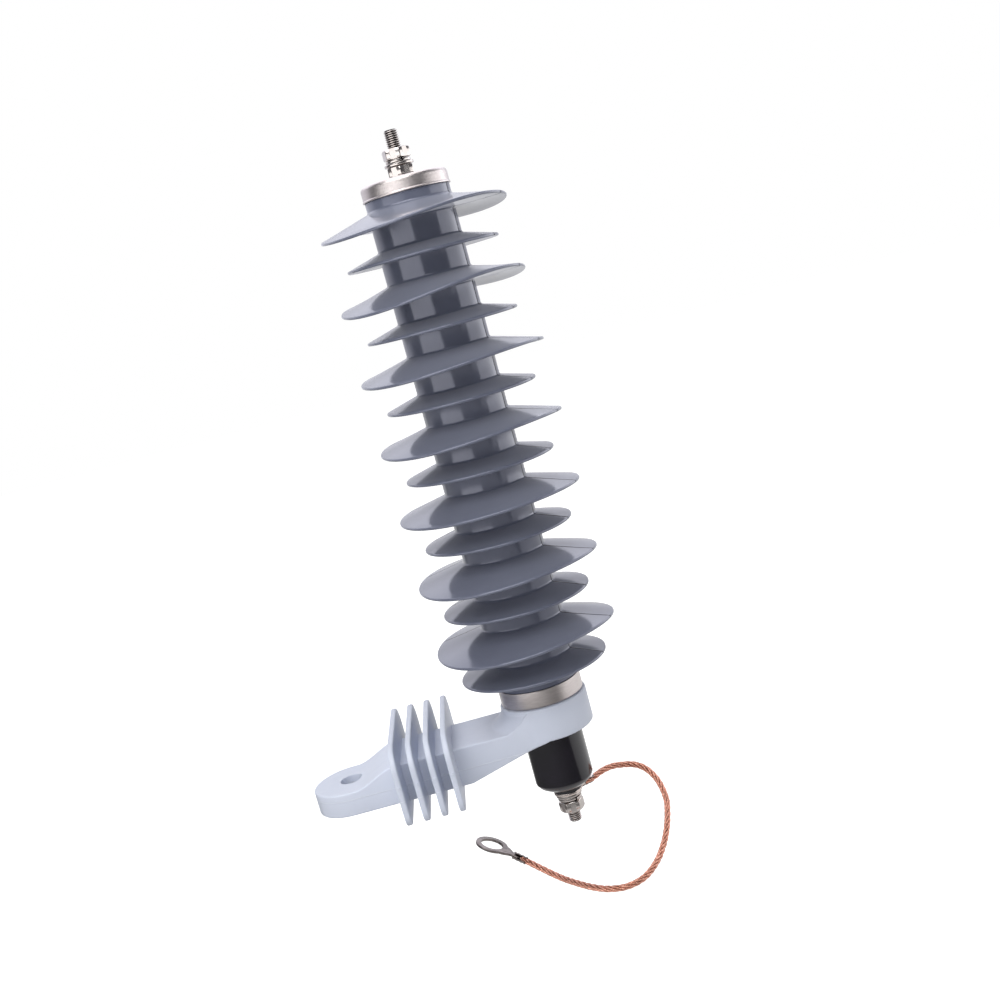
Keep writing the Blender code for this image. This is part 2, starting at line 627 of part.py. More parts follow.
def make_case():
    """Moulded case: a collar, a plain barrel, a rounded taper and a small step at its foot."""
    collar = CASE_RADIUS + CASE_COLLAR
    barrel_end = CASE_TOP - CASE_BARREL_HEIGHT
    step_top = CASE_BOTTOM + CASE_STEP_HEIGHT
    hole = STUD_RADIUS + GAP
    profile = [
        (collar, CASE_TOP), (collar, CASE_TOP - CASE_COLLAR_HEIGHT / 2), (CASE_RADIUS, CASE_TOP - CASE_COLLAR_HEIGHT),
        (CASE_RADIUS, barrel_end), (CASE_RADIUS - CASE_SHOULDER_INSET / 3, barrel_end - CASE_SHOULDER_DROP / 2),
        (CASE_RADIUS - CASE_SHOULDER_INSET, barrel_end - CASE_SHOULDER_DROP),
        (CASE_FOOT_RADIUS, step_top), (CASE_STEP_RADIUS, step_top), (CASE_STEP_RADIUS, CASE_BOTTOM),
        (hole, CASE_BOTTOM), (hole, CAVITY_FLOOR), (CAVITY_RADIUS, CAVITY_FLOOR), (CAVITY_RADIUS, CASE_TOP)]
    return turned_on_axis("disconnector_case", profile, LARGE_SIDES, BLACK_PLASTIC)


# Ground terminal and lead

def make_lug(name, eye, hole, neck, barrel_start, barrel_end, placement):
    """A crimp lug: flat eye, narrowing neck and bored barrel, with its eye at the origin."""
    half = LUG_PLATE / 2
    lug = rod(name, eye, -half, half, SMALL_SIDES)
    spread = math.degrees(math.acos((eye - BARREL_RADIUS) / neck))
    tail = [(barrel_start, -BARREL_RADIUS), (barrel_start, BARREL_RADIUS), (neck, BARREL_RADIUS)]
    outline = tail + arc(0, 0, eye - GAP, spread, -spread, 8) + [(neck, -BARREL_RADIUS)]
    strap = outline_plate(name + "_strap", outline, LUG_PLATE, Matrix.Identity(4))
    combine(lug, strap, "UNION")
    length = barrel_end - barrel_start
    taper = barrel_start - neck
    profile = [(0.0, length), (BARREL_RADIUS, length), (BARREL_RADIUS, 0.0), (BARREL_RADIUS * LUG_TAPER, -taper),
               (0.0, -taper)]
    barrel = turned(name + "_barrel", profile, SMALL_SIDES, ring=False)
    along = Matrix.Translation((barrel_start, 0, 0)) @ Matrix.Rotation(math.radians(90), 4, "Y")
    barrel.matrix_world = along
    combine(lug, barrel, "UNION")
    eye_bore = rod(name + "_eye_bore", hole, -eye, eye)
    combine(lug, eye_bore, "DIFFERENCE")
    depth = LEAD_INSERTION + GAP
    barrel_bore = rod(name + "_barrel_bore", BARREL_BORE, length - depth, length + depth, 12)
    barrel_bore.matrix_world = along
    combine(lug, barrel_bore, "DIFFERENCE")
    for item in (lug, strap, barrel, eye_bore, barrel_bore):
        item.matrix_world = placement @ item.matrix_world
    return give_finish(lug, TINNED)


def ground_lug_placement(top):
    place = Vector((AXIS_X, 0, top - LUG_PLATE / 2))
    return Matrix.Translation(place) @ Matrix.Rotation(GROUND_LUG_TURN, 4, "Z")


def free_lug_placement():
    """The free lug's barrel points at the end of the lead's route."""
    along = (Vector(LEAD_ROUTE[-1]) - FREE_LUG_EYE_PLACE).normalized()
    side = FREE_LUG_TOP.cross(along).normalized()
    top = along.cross(side)
    turn = Matrix((along, side, top)).transposed().to_4x4()
    return Matrix.Translation(FREE_LUG_EYE_PLACE) @ turn


def smooth_route(points, spacing):
    """Points at even steps along a smooth curve through the given points."""
    knots = [Vector(p) for p in points]
    knots = [2 * knots[0] - knots[1]] + knots + [2 * knots[-1] - knots[-2]]
    fine = []
    for a, b, c, e in zip(knots, knots[1:], knots[2:], knots[3:]):
        for i in range(10):
            t = i / 10
            fine.append(0.5 * (2 * b + (c - a) * t + (2 * a - 5 * b + 4 * c - e) * t * t
                               + (3 * b - a - 3 * c + e) * t ** 3))
    fine.append(knots[-2])
    lengths = [0.0]
    for a, b in zip(fine, fine[1:]):
        lengths.append(lengths[-1] + (b - a).length)
    count = max(2, round(lengths[-1] / spacing))
    result = []
    for i in range(count + 1):
        target = lengths[-1] * i / count
        k = max(j for j, length in enumerate(lengths[:-1]) if length <= target + 1e-12)
        share = (target - lengths[k]) / (lengths[k + 1] - lengths[k])
        result.append(fine[k].lerp(fine[k + 1], share))
    return result


def make_ground_lead(start_lug, end_lug):
    """The lead runs from inside one barrel, along its route, into the other barrel."""
    first = start_lug @ Vector((GROUND_LUG_BARREL_END - LEAD_INSERTION, 0, 0))
    first_mouth = start_lug @ Vector((GROUND_LUG_BARREL_END, 0, 0))
    last_mouth = end_lug @ Vector((FREE_LUG_BARREL_END, 0, 0))
    last = end_lug @ Vector((FREE_LUG_BARREL_END - LEAD_INSERTION, 0, 0))
    middle = list(LEAD_ROUTE[:-1])
    points = [first, first_mouth] + smooth_route([first_mouth] + middle + [last_mouth], LEAD_SPACING)[1:-1]
    points += [last_mouth, last]
    curve = bpy.data.curves.new("ground_lead", "CURVE")
    curve.dimensions = "3D"
    curve.bevel_depth = LEAD_RADIUS
    curve.bevel_resolution = 2
    curve.use_fill_caps = True
    spline = curve.splines.new("POLY")
    spline.points.add(len(points) - 1)
    for knot, point in zip(spline.points, points):
        knot.co = (*point, 1.0)
    for i in (0, 1, -2, -1):
        spline.points[i].radius = CRIMPED_LEAD_RADIUS / LEAD_RADIUS
    return give_finish(add_object("ground_lead", curve), COPPER)


def make_ground_terminal():
    bore = STUD_RADIUS + GAP
    level = CASE_BOTTOM - GAP
    start_lug = ground_lug_placement(level)
    make_lug("ground_lug", GROUND_LUG_EYE, bore, GROUND_LUG_NECK, GROUND_LUG_BARREL_START,
             GROUND_LUG_BARREL_END, start_lug)
    level -= LUG_PLATE + GAP + GROUND_WASHER_THICKNESS
    make_washer("ground_washer", GROUND_WASHER_RADIUS, level, GROUND_WASHER_THICKNESS, bore)
    level -= GAP + GROUND_SPRING_THICKNESS
    make_spring_washer("ground_spring_washer", GROUND_SPRING_RADIUS, level, GROUND_SPRING_THICKNESS, bore)
    level -= GAP + GROUND_NUT_HEIGHT
    make_nut("ground_nut", GROUND_NUT_ACROSS_FLATS, level, GROUND_NUT_HEIGHT, GROUND_NUT_TURN, bore)
    end_lug = free_lug_placement()
    make_lug("free_lug", FREE_LUG_EYE, FREE_LUG_HOLE, FREE_LUG_NECK, FREE_LUG_BARREL_START,
             FREE_LUG_BARREL_END, end_lug)
    make_ground_lead(start_lug, end_lug)


clear_scene()
PARTS = add_collection("surge_arrester")
CUTTERS = add_collection("cutters")
make_bracket()
make_bottom_cap()
make_stud("base_stud", BASE_STUD_RADIUS, BASE_STUD_BOTTOM, BASE_STUD_TOP)
make_core()
make_housing()
make_top_cap()
make_line_terminal()
make_disconnector()
make_ground_terminal()
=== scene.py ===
"""Looks of a surge arrester on its insulating bracket, dressed over its solid model.

The scene is in metres, with +Z up along the arrester's axis. Meshes are written in millimetres about
that axis, at x = 0, and turned into metres when they become pieces.
"""
import math

import bmesh
import bpy
import numpy as np
from mathutils import Matrix, Vector


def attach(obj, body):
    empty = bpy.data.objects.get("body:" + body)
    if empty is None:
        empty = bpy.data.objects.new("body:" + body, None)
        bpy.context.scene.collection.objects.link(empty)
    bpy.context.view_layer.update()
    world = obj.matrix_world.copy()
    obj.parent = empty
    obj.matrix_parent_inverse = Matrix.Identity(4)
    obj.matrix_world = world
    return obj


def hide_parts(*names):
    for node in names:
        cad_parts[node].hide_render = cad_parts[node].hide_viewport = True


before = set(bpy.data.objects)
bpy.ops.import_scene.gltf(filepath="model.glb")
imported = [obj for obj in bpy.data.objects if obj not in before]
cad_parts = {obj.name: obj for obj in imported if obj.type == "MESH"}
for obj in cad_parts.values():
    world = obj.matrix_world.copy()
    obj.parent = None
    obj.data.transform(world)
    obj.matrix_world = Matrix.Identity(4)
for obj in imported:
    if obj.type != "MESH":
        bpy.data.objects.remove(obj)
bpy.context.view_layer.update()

MM = 0.001
AXIS_X = 0.136                     # the arrester's axis
ON_AXIS = Matrix.Translation((AXIS_X, 0, 0))

# Camera, fitted to the sheds' rims
EYE = Vector((0.136, -0.95496, 0.35357))
CAMERA_TURN = (0.0076, 0.1648, -0.2628)   # roll, tilt and pan, in radians
LENS = 47.434
SENSOR = 36.0

# Lamps: name, azimuth from the camera's side towards +X, elevation, distance, width, height, radiance
LAMP_TARGET = Vector((AXIS_X, 0.0, 0.24))
LAMPS = (
    ("left_box", -41, 6, 1.6, 1.9, 0.7, 1.9),
    ("right_box", 98, 6, 1.6, 2.2, 0.8, 1.8),
    ("front_box", -18, 45, 1.7, 1.6, 1.0, 3.7),
    ("top_box", 0, 86, 1.7, 1.6, 1.6, 1.7),
)

# Fill light, and the backdrop in reflections: ranges of the direction's Y and Z with strengths
FILL = 0.20
BACKDROP_BEHIND = ((0.1, 0.6), (0.10, 1.0))
BACKDROP_ABOVE = ((0.2, 0.5), (1.0, 1.9))
BACKDROP_TINT = (0.92, 0.92, 1.0, 1)

# Floor, and what shiny pieces reflect of it: a dim and a bright band, as ranges of X + Y with strengths
FLOOR_Z = -0.0934
FLOOR_HALF = 6.0
FLOOR_COLOUR = (0.6, 0.6, 0.6, 1)
FLOOR_COLOUR_MIRRORED = (0.04, 0.04, 0.04, 1)
FLOOR_GLOW = 0.94
DIM_BAND = ((-0.6, 0.2), (0.6, 0.1))
BRIGHT_BAND = ((-0.1, 0.4), (0.1, 1.0))
BAND_EDGE = 0.2                    # where the bright band takes over
FOOT = ((0.09, 0.15), (0.85, 0.0))   # bright patch under the object: distances from the axis, strengths

# Housing, in millimetres from here on
SHED_COUNT = 14
SHED_PITCH = 26.0
LOWEST_RIM = 66.0
LARGE_SHED = 68.0
SMALL_SHED = 55.5
SMALL_SHED_LIFT = 1.4
SHED_RIM = 2.4
RIM_DROP = 0.3                     # how much thinner the rim's outermost edge is
RIM_FILLETS = (1.1, 0.95)
ROOT_FILLETS = (2.0, 1.6)
TOP_SLOPE = math.tan(math.radians(15))
UNDER_SLOPE = math.tan(math.radians(4))
SHOULDERS = (56.6, 423.7)
SHOULDER_FILLET = 0.3
CORE_LEVELS = (45.6, 432.7)
TUBE_RADIUS = 30.8
SPIGOT_RADIUS = 30.0
BORE_RADIUS = 25.3
LONG_FLANK = 20.0                  # flanks longer than this are divided, so that they can wave
FLANK_PARTS = 6
SHED_TWIST = (3.1, 4.1, 2.3, 2.1, 1.0, 1.8, 2.2)   # how far each large rim waves, from the top down
WAVE_START = 1.0                   # where the wave starts, out from the tube
WAVE_POWER = 1.6
WAVE_ZONE = (5.0, 10.0)            # what waves: its middle above the rim's underside, and half its height

# Turned pieces, as corners of (radius, height, fillet)
TOP_CAP = (
    (5.3, 432.9, 0), (5.3, 434.9, 0.3), (31.5, 434.9, 3.0), (31.5, 425.4, 0.6), (32.0, 424.9, 0.4),
    (32.0, 424.0, 0.3), (30.3, 424.0, 0.2), (30.3, 432.9, 1.0), (5.3, 432.9, 0),
)
BOTTOM_CAP = (
    (30.3, 50.0, 0), (30.3, 56.3, 0.3), (31.5, 56.3, 0.4), (31.5, 43.3, 1.2), (6.3, 43.3, 0.3),
    (6.3, 45.3, 0.3), (30.3, 45.3, 1.0), (30.3, 50.0, 0),
)
CASE = (
    (17.1, 16.7, 0), (23.2, 16.7, 0.3), (23.2, 14.6, 0.5), (22.3, 13.6, 0.3), (22.3, -23.9, 3.2),
    (20.2, -26.9, 2.0), (13.0, -31.6, 0.8), (11.0, -31.6, 0.3), (11.0, -34.0, 0.3), (5.3, -34.0, 0.2),
    (5.3, -22.0, 0), (16.9, -22.0, 0), (16.9, 16.7, 0),
)

# Bracket
ARM_HALF = 29.0
ARM_TOP = 29.2
PAD_TOP = 18.0
HOLE_TO_AXIS = 156.0
PAD_HOLE = 8.5
RAMP = (119.0, 34.0)               # start from the axis, and length
SLOPE = (3.0, 66.0)                # arm's sloping underside, from the axis
BOSS = (33.0, 17.0, 43.0)          # radius, underside, top
BOSS_BORE = 6.5
SEAT_RADIUS = 24.0                 # where the case meets the boss
BRACKET_EDGE = 1.4
ARM_SPANS = ((4, 54, 1.25), (54, 119, 3.0), (119, HOLE_TO_AXIS, 2.0))   # start, end, step of its sections
EDGE_STEPS = 5
TOP_STEPS = 26
BLEND_RADIUS = 40.0                # hollow between the arm's side and the boss
ARM_SINK = 0.15                    # how far the arm's end stays inside the boss's side
HEEL_RADIUS = 17.0
HEEL_REACH = 48.9
HEEL_START = 0.9                   # how far under the arm's top the heel's hollow starts
HEEL_LIMIT = 0.99                  # steepest part of the hollow that is used
BOSS_LIP = 0.3
FIN_COUNT = 4
FIN_PITCH = 13.2
FIN_TO_AXIS = 76.5
FIN_THICKNESS = 4.3
FIN_EDGE = 1.2
FIN_BOX = (60.0, 49.0, -9.0)       # half width, top, foot
FIN_CORNERS = (18.0, 10.0)         # radius of the upper and the lower corners
CORNER_STEPS = 10
NUB_LEVEL = 22.5
NUB_RADIUS = 1.3
NUB_PROUD = 0.5
NUB_SUNK = 1.0
NUB_ROUNDING = 0.8                 # shares of the radius and of the height where its top starts to round

# Sides of turned meshes, and the gap up to which their points are merged
HOUSING_SIDES = 160
CAP_SIDES = 128
WASHER_SIDES = 96
HOLE_SIDES = 64
BORE_SIDES = 48
NUB_SIDES = 16
MERGE_GAP = 0.002

# Threads of the 10 mm studs; flats and flanks are shares of the pitch
STUD_RADIUS = 5.0
STUD_BEVEL = 0.8
LINE_STUD = (407.0, 468.7)
GROUND_STUD = (-60.0, -21.0)
GROUND_STUD_HEAD = (0.5, 12.5, -21.7, -17.7, 0.4)   # inner and outer radius, low, high, edge
THREAD_PITCH = 1.5
THREAD_DEPTH = 0.92
THREAD_STEP = 0.125
THREAD_SIDES = 48
ROOT_HALF_FLAT = 0.06
FLANK = 0.32

# Nuts: piece, solid, across flats, underside, height, turn in degrees
NUTS = (
    ("line_nut_lower", "lower_nut", 18.0, 435.3, 8.0, 30),
    ("line_nut_upper", "upper_nut", 18.0, 448.2, 7.6, 45),
    ("ground_terminal_nut", "ground_nut", 17.0, -51.0, 8.4, 4),
)
NUT_STEP = 2.5                     # degrees from point to point
NUT_OFFSET = 0.0001                # keeps its points off the exact corners, in radians
NUT_CORNER = 1.142                 # corner's and end face's radius, as shares of half the flats
NUT_FACE = 0.955
NUT_BEVEL = math.tan(math.radians(28))
NUT_BORE = 4.9
NUT_MOUTH = 5.7
NUT_MOUTH_DEPTH = 1.0
NUT_CROWN = (0.5, 0.42)            # a point on the bevel: shares of its reach and of its drop
NUT_RIM = (0.12, 0.94)             # its outer edge: how far in, and the share of its drop
NUT_SOFT_EDGE = 0.2                # how far below the bevel the flats begin

# Washers: piece, solid, radius, low, high, and for split ones the strip's height and the cut's direction
WASHERS = (
    ("line_washer", "top_washer", 10.5, 443.6, 445.5),
    ("ground_terminal_washer", "ground_washer", 10.0, -38.8, -36.6),
)
WASHER_BORE = 5.3
WASHER_EDGE = 0.35
SPRING_WASHERS = (
    ("line_spring_washer", "top_spring_washer", 9.0, 445.8, 447.9, 1.7, -70),
    ("ground_spring_ring", "ground_spring_washer", 9.2, -42.3, -39.1, 2.2, -62),
)
SPRING_BORE = 5.4
SPRING_EDGE = 0.3
SPRING_CUT = 8                     # width of the cut, in degrees
SPRING_ROWS = 96

# Lugs: hole and its sides; eye, neck, half the neck's width and end; and the barrel's start, end, radius,
# sheet, opening and the side that it opens to
FREE_LUG = ((8.8, 64), (12.7, 20.0, 2.2, 24.0), (20.0, 31.0, 3.0, 0.6, 80, 145))
GROUND_LUG = ((5.3, 48), (11.0, 12.4, 2.6, 14.6), (13.0, 23.5, 3.0, 0.6, 120, 200))
LUG_HALF = 1.0
LUG_EDGE = 0.35
PLATE_ROUNDING = 0.3               # share of the edge where its middle point lies
DRILL_REACH = 20
EYE_OPENING = math.radians(34)     # where the eye's outline turns into the neck
EYE_STEPS = 40
NECK_STEPS = 6
BARREL_ROWS = 31
BARREL_SIDES = 24
RIB_COUNT = 3
RIB_DEPTH = 0.12

# Ground lead, in metres
LEAD_RADIUS = 0.0025
CRIMPED_RADIUS = 0.0021
CRIMP_FADE = 0.003                 # length in the barrel, and again the length of the change
LEAD_ROUTE = (
    (0.1588, 0.0113, -0.0349), (0.1648, 0.0160, -0.0344), (0.1722, 0.0211, -0.0350),
    (0.1796, 0.0242, -0.0366), (0.1916, 0.0252, -0.0401), (0.1998, 0.0218, -0.0454),
    (0.2052, 0.0126, -0.0529), (0.2069, 0.0003, -0.0620), (0.2047, -0.0099, -0.0688),
    (0.1999, -0.0226, -0.0766), (0.1937, -0.0343, -0.0828), (0.1854, -0.0473, -0.0875),
    (0.1737, -0.0608, -0.0900), (0.1604, -0.0667, -0.0907), (0.1473, -0.0640, -0.0907),
    (0.1356, -0.0547, -0.0907), (0.1233, -0.0399, -0.0905), (0.1112, -0.0245, -0.0890),
    (0.1019, -0.0115, -0.0865),
)
GROUND_BARREL_KNOTS = (0.0136, 0.0156, 0.0186)
FREE_BARREL_KNOTS = (0.031, 0.028, 0.026)
KNOT_PARTS = 24
LEAD_SPACING = 0.0008
STRAND_COUNT = 7
STRAND_PITCH = 0.034
STRAND_FILL = 0.94
STRAND_SIDES = 10
FREE_LUG_EYE = Vector((0.0677, 0.0130, -0.0680))
FREE_LUG_TOP = Vector((0.49, -0.03, 0.87))
GROUND_LUG_Z = -0.0353
GROUND_LUG_TURN = math.radians(25)

# Mould parting lines, the housing's with painted shade along it, and painted shade in the thread grooves, in
# the materials, in metres
HOUSING_PARTING_TURN = math.radians(-22)   # the housing mould's parting plane, from +X
BRACKET_PARTING_Z = 0.0125
GROOVE_SHADE = (0.0042, 0.0048)          # distances from the studs' axis: full painted shade in the groove, none towards the crest


# Node helpers

def node(tree, kind, **settings):
    made = tree.nodes.new(kind)
    for key, value in settings.items():
        setattr(made, key, value)
    return made


def feed(tree, socket, source):
    """Links a socket to an input, or writes a plain value there."""
    if isinstance(source, bpy.types.NodeSocket):
        tree.links.new(source, socket)
    else:
        socket.default_value = source


def calculate(tree, operation, first, second=None):
    made = node(tree, "ShaderNodeMath", operation=operation)
    feed(tree, made.inputs[0], first)
    if second is not None:
        feed(tree, made.inputs[1], second)
    return made.outputs[0]


def on_vectors(tree, operation, first, second, output):
    made = node(tree, "ShaderNodeVectorMath", operation=operation)
    feed(tree, made.inputs[0], first)
    made.inputs[1].default_value = second
    return made.outputs[output]


def map_range(tree, value, from_range=(0, 1), to_range=(0, 1), curve="SMOOTHSTEP"):
    made = node(tree, "ShaderNodeMapRange", interpolation_type=curve)
    feed(tree, made.inputs["Value"], value)
    made.inputs["From Min"].default_value, made.inputs["From Max"].default_value = from_range
    feed(tree, made.inputs["To Min"], to_range[0])
    feed(tree, made.inputs["To Max"], to_range[1])
    return made.outputs["Result"]


def mix(tree, data_type, factor, first, second):
    made = node(tree, "ShaderNodeMix", data_type=data_type)
    feed(tree, made.inputs["Factor"], factor)
    feed(tree, made.inputs["A"], first)
    feed(tree, made.inputs["B"], second)
    return made.outputs["Result"]


# Camera, floor and light

def add_camera():
    camera = bpy.data.cameras.new("camera")
    camera.lens = LENS
    camera.sensor_width = SENSOR
    holder = bpy.data.objects.new("camera", camera)
    bpy.context.scene.collection.objects.link(holder)
    roll, tilt, pan = CAMERA_TURN
    turn = (Matrix.Rotation(-roll, 4, "Z") @ Matrix.Rotation(-tilt, 4, "X") @ Matrix.Rotation(-pan, 4, "Y")
            @ Matrix.Rotation(math.radians(90), 4, "X"))
    holder.matrix_world = Matrix.Translation(EYE) @ turn
    bpy.context.scene.camera = holder


def add_area_light(name, azimuth, elevation, distance, width, height, radiance):
    """A soft box that faces the arrester."""
    a, e = math.radians(azimuth), math.radians(elevation)
    away = Vector((math.sin(a) * math.cos(e), -math.cos(a) * math.cos(e), math.sin(e)))
    light = bpy.data.lights.new(name, "AREA")
    light.shape = "RECTANGLE"
    light.size = width
    light.size_y = height
    light.energy = radiance * math.pi * width * height
    holder = bpy.data.objects.new(name, light)
    holder.location = LAMP_TARGET + away * distance
    holder.rotation_euler = away.to_track_quat("Z", "Y").to_euler()
    bpy.context.scene.collection.objects.link(holder)


def set_world():
    """White to the camera, a lit backdrop in reflections, and a dimmer fill as light on the object."""
    world = bpy.data.worlds.new("studio")
    bpy.context.scene.world = world
    world.use_nodes = True
    tree = world.node_tree
    tree.nodes.clear()
    path = node(tree, "ShaderNodeLightPath")
    split = node(tree, "ShaderNodeSeparateXYZ")
    tree.links.new(node(tree, "ShaderNodeTexCoord").outputs["Generated"], split.inputs[0])
    behind = map_range(tree, split.outputs["Y"], *BACKDROP_BEHIND)
    above = map_range(tree, split.outputs["Z"], *BACKDROP_ABOVE)
    backdrop = calculate(tree, "MULTIPLY", behind, above)
    seen = calculate(tree, "MAXIMUM", path.outputs["Is Camera Ray"], path.outputs["Is Transmission Ray"])
    lit = calculate(tree, "MAXIMUM", seen, FILL)
    background = node(tree, "ShaderNodeBackground")
    mirrored = path.outputs["Is Glossy Ray"]
    feed(tree, background.inputs["Strength"], mix(tree, "FLOAT", mirrored, lit, backdrop))
    feed(tree, background.inputs["Color"], mix(tree, "RGBA", mirrored, (1, 1, 1, 1), BACKDROP_TINT))
    output = node(tree, "ShaderNodeOutputWorld")
    tree.links.new(background.outputs[0], output.inputs["Surface"])


def floor_bands(tree, coords):
    """How bright the floor is in reflections: two bands across it, and a bright patch under the object."""
    split = node(tree, "ShaderNodeSeparateXYZ")
    tree.links.new(coords, split.inputs[0])
    across = calculate(tree, "ADD", split.outputs["X"], split.outputs["Y"])
    past_edge = calculate(tree, "GREATER_THAN", across, BAND_EDGE)
    dim = map_range(tree, across, *DIM_BAND)
    bright = map_range(tree, across, *BRIGHT_BAND)
    bands = mix(tree, "FLOAT", past_edge, dim, bright)
    away = on_vectors(tree, "DISTANCE", coords, (AXIS_X, 0, 0), "Value")
    return calculate(tree, "MAXIMUM", bands, map_range(tree, away, *FOOT))


def add_floor():
    """Pale floor: the camera sees it white, with a trace of the object's shadow."""
    mesh = bpy.data.meshes.new("floor")
    shape = bmesh.new()
    bmesh.ops.create_grid(shape, x_segments=1, y_segments=1, size=FLOOR_HALF)
    shape.to_mesh(mesh)
    shape.free()
    floor = bpy.data.objects.new("floor", mesh)
    floor.location.z = FLOOR_Z
    bpy.context.scene.collection.objects.link(floor)
    material = bpy.data.materials.new("floor")
    material.use_nodes = True
    tree = material.node_tree
    shader = tree.nodes["Principled BSDF"]
    shader.inputs["Roughness"].default_value = 1.0
    shader.inputs["Specular IOR Level"].default_value = 0.0
    shader.inputs["Emission Color"].default_value = (1, 1, 1, 1)
    path = node(tree, "ShaderNodeLightPath")
    mirrored = path.outputs["Is Glossy Ray"]
    feed(tree, shader.inputs["Base Color"], mix(tree, "RGBA", mirrored, FLOOR_COLOUR, FLOOR_COLOUR_MIRRORED))
    bands = floor_bands(tree, node(tree, "ShaderNodeTexCoord").outputs["Object"])
    lit = calculate(tree, "MULTIPLY", mirrored, bands)
    glow = calculate(tree, "MAXIMUM", path.outputs["Is Camera Ray"], lit)
    glow = calculate(tree, "MAXIMUM", glow, path.outputs["Is Transmission Ray"])
    feed(tree, shader.inputs["Emission Strength"], calculate(tree, "MULTIPLY", glow, FLOOR_GLOW))
    mesh.materials.append(material)


# Meshes

def add_piece(name, mesh, solid, material, sharp=50, placement=ON_AXIS):
    """One dressed piece from a mesh in millimetres; its edges are sharp from an angle in degrees."""
    mesh.transform(placement @ Matrix.Scale(MM, 4))
    mesh.shade_smooth()
    mesh.set_sharp_from_angle(angle=math.radians(sharp))
    mesh.materials.clear()
    mesh.materials.append(material)
    piece = bpy.data.objects.new(name, mesh)
    bpy.context.scene.collection.objects.link(piece)
    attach(piece, "root")
    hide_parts(solid)
    return piece


def rings_mesh(name, rings, ring_of_rows=False):
    """Mesh through closed rows of points; the end rows are filled, or joined in a ring of rows."""
    rings = np.array(rings, float)
    rows, sides = rings.shape[:2]
    faces = []
    for row in range(rows if ring_of_rows else rows - 1):
        below = (row + 1) % rows
        for k in range(sides):
            n = (k + 1) % sides
            faces.append((row * sides + k, below * sides + k, below * sides + n, row * sides + n))
    if not ring_of_rows:
        faces.append(tuple(range(sides)))
        faces.append(tuple((rows - 1) * sides + k for k in range(sides)))
    mesh = bpy.data.meshes.new(name)
    mesh.from_pydata(rings.reshape(-1, 3).tolist(), [], faces)
    shape = bmesh.new()
    shape.from_mesh(mesh)
    bmesh.ops.remove_doubles(shape, verts=shape.verts, dist=MERGE_GAP)
    bmesh.ops.recalc_face_normals(shape, faces=shape.faces)
    shape.to_mesh(mesh)
    shape.free()
    return mesh


def join_meshes(name, meshes):
    shape = bmesh.new()
    for mesh in meshes:
        shape.from_mesh(mesh)
        bpy.data.meshes.remove(mesh)
    joined = bpy.data.meshes.new(name)
    shape.to_mesh(joined)
    shape.free()
    return joined


def cut_away(mesh, cutters):
    """The mesh with the cutters' meshes taken out of it."""
    target = bpy.data.objects.new("target", mesh)
    bpy.context.scene.collection.objects.link(target)
    tools = []
    for cutter in cutters:
        tool = bpy.data.objects.new("tool", cutter)
        bpy.context.scene.collection.objects.link(tool)
        modifier = target.modifiers.new("cut", "BOOLEAN")
        modifier.operation = "DIFFERENCE"
        modifier.solver = "EXACT"
        modifier.object = tool
        tools.append(tool)
    graph = bpy.context.evaluated_depsgraph_get()
    result = bpy.data.meshes.new_from_object(target.evaluated_get(graph))
    for item in [target] + tools:
        bpy.data.objects.remove(item, do_unlink=True)
    return result


def fillet_path(corners, step=15):
    """Points of a path of (a, b, radius) corners, each inner corner rounded in steps of so many degrees."""
    points = []
    count = len(corners)
    for i, (a, b, radius) in enumerate(corners):
        here = Vector((a, b))
        if radius <= 0 or i in (0, count - 1):
            points.append((a, b))
            continue
        before = (Vector(corners[i - 1][:2]) - here).normalized()
        after = (Vector(corners[i + 1][:2]) - here).normalized()
        half = before.angle(after) / 2
        reach = radius / math.tan(half)
        centre = here + (before + after).normalized() * (radius / math.sin(half))
        start = here + before * reach - centre
        end = here + after * reach - centre
        parts = max(1, math.ceil((math.pi - 2 * half) / math.radians(step)))
        first = math.atan2(start.y, start.x)
        sweep = math.atan2(start.x * end.y - start.y * end.x, start.dot(end))
        for k in range(parts + 1):
            angle = first + sweep * k / parts
            points.append((centre.x + radius * math.cos(angle), centre.y + radius * math.sin(angle)))
    return points


def lathe(name, profile, sides, ring=True, wave=None):
    """Turned mesh from a profile of (radius, height); wave lowers each row twice round by its own amount."""
    profile = np.array(profile, float)
    angles = np.arange(sides) * 2 * math.pi / sides
    radius, height = profile[:, 0][:, None], profile[:, 1][:, None]
    z = height + np.zeros(sides)
    if wave is not None:
        z = z - np.array(wave)[:, None] * np.sin(2 * angles)
    rings = np.stack([radius * np.cos(angles), radius * np.sin(angles), z], axis=2)
    return rings_mesh(name, rings, ring)


def drill(radius, low, high, sides):
    return lathe("drill", [(0, high), (radius, high), (radius, low), (0, low)], sides, ring=False)


def washer_section(radius_in, radius_out, low, high, edge):
    """Section of a washer with rounded edges, as a closed profile."""
    middle = (low + high) / 2
    corners = [(radius_in, middle, 0), (radius_in, high, edge), (radius_out, high, edge),
               (radius_out, low, edge), (radius_in, low, edge), (radius_in, middle, 0)]
    return fillet_path(corners, 30)[:-1]


# Housing and caps

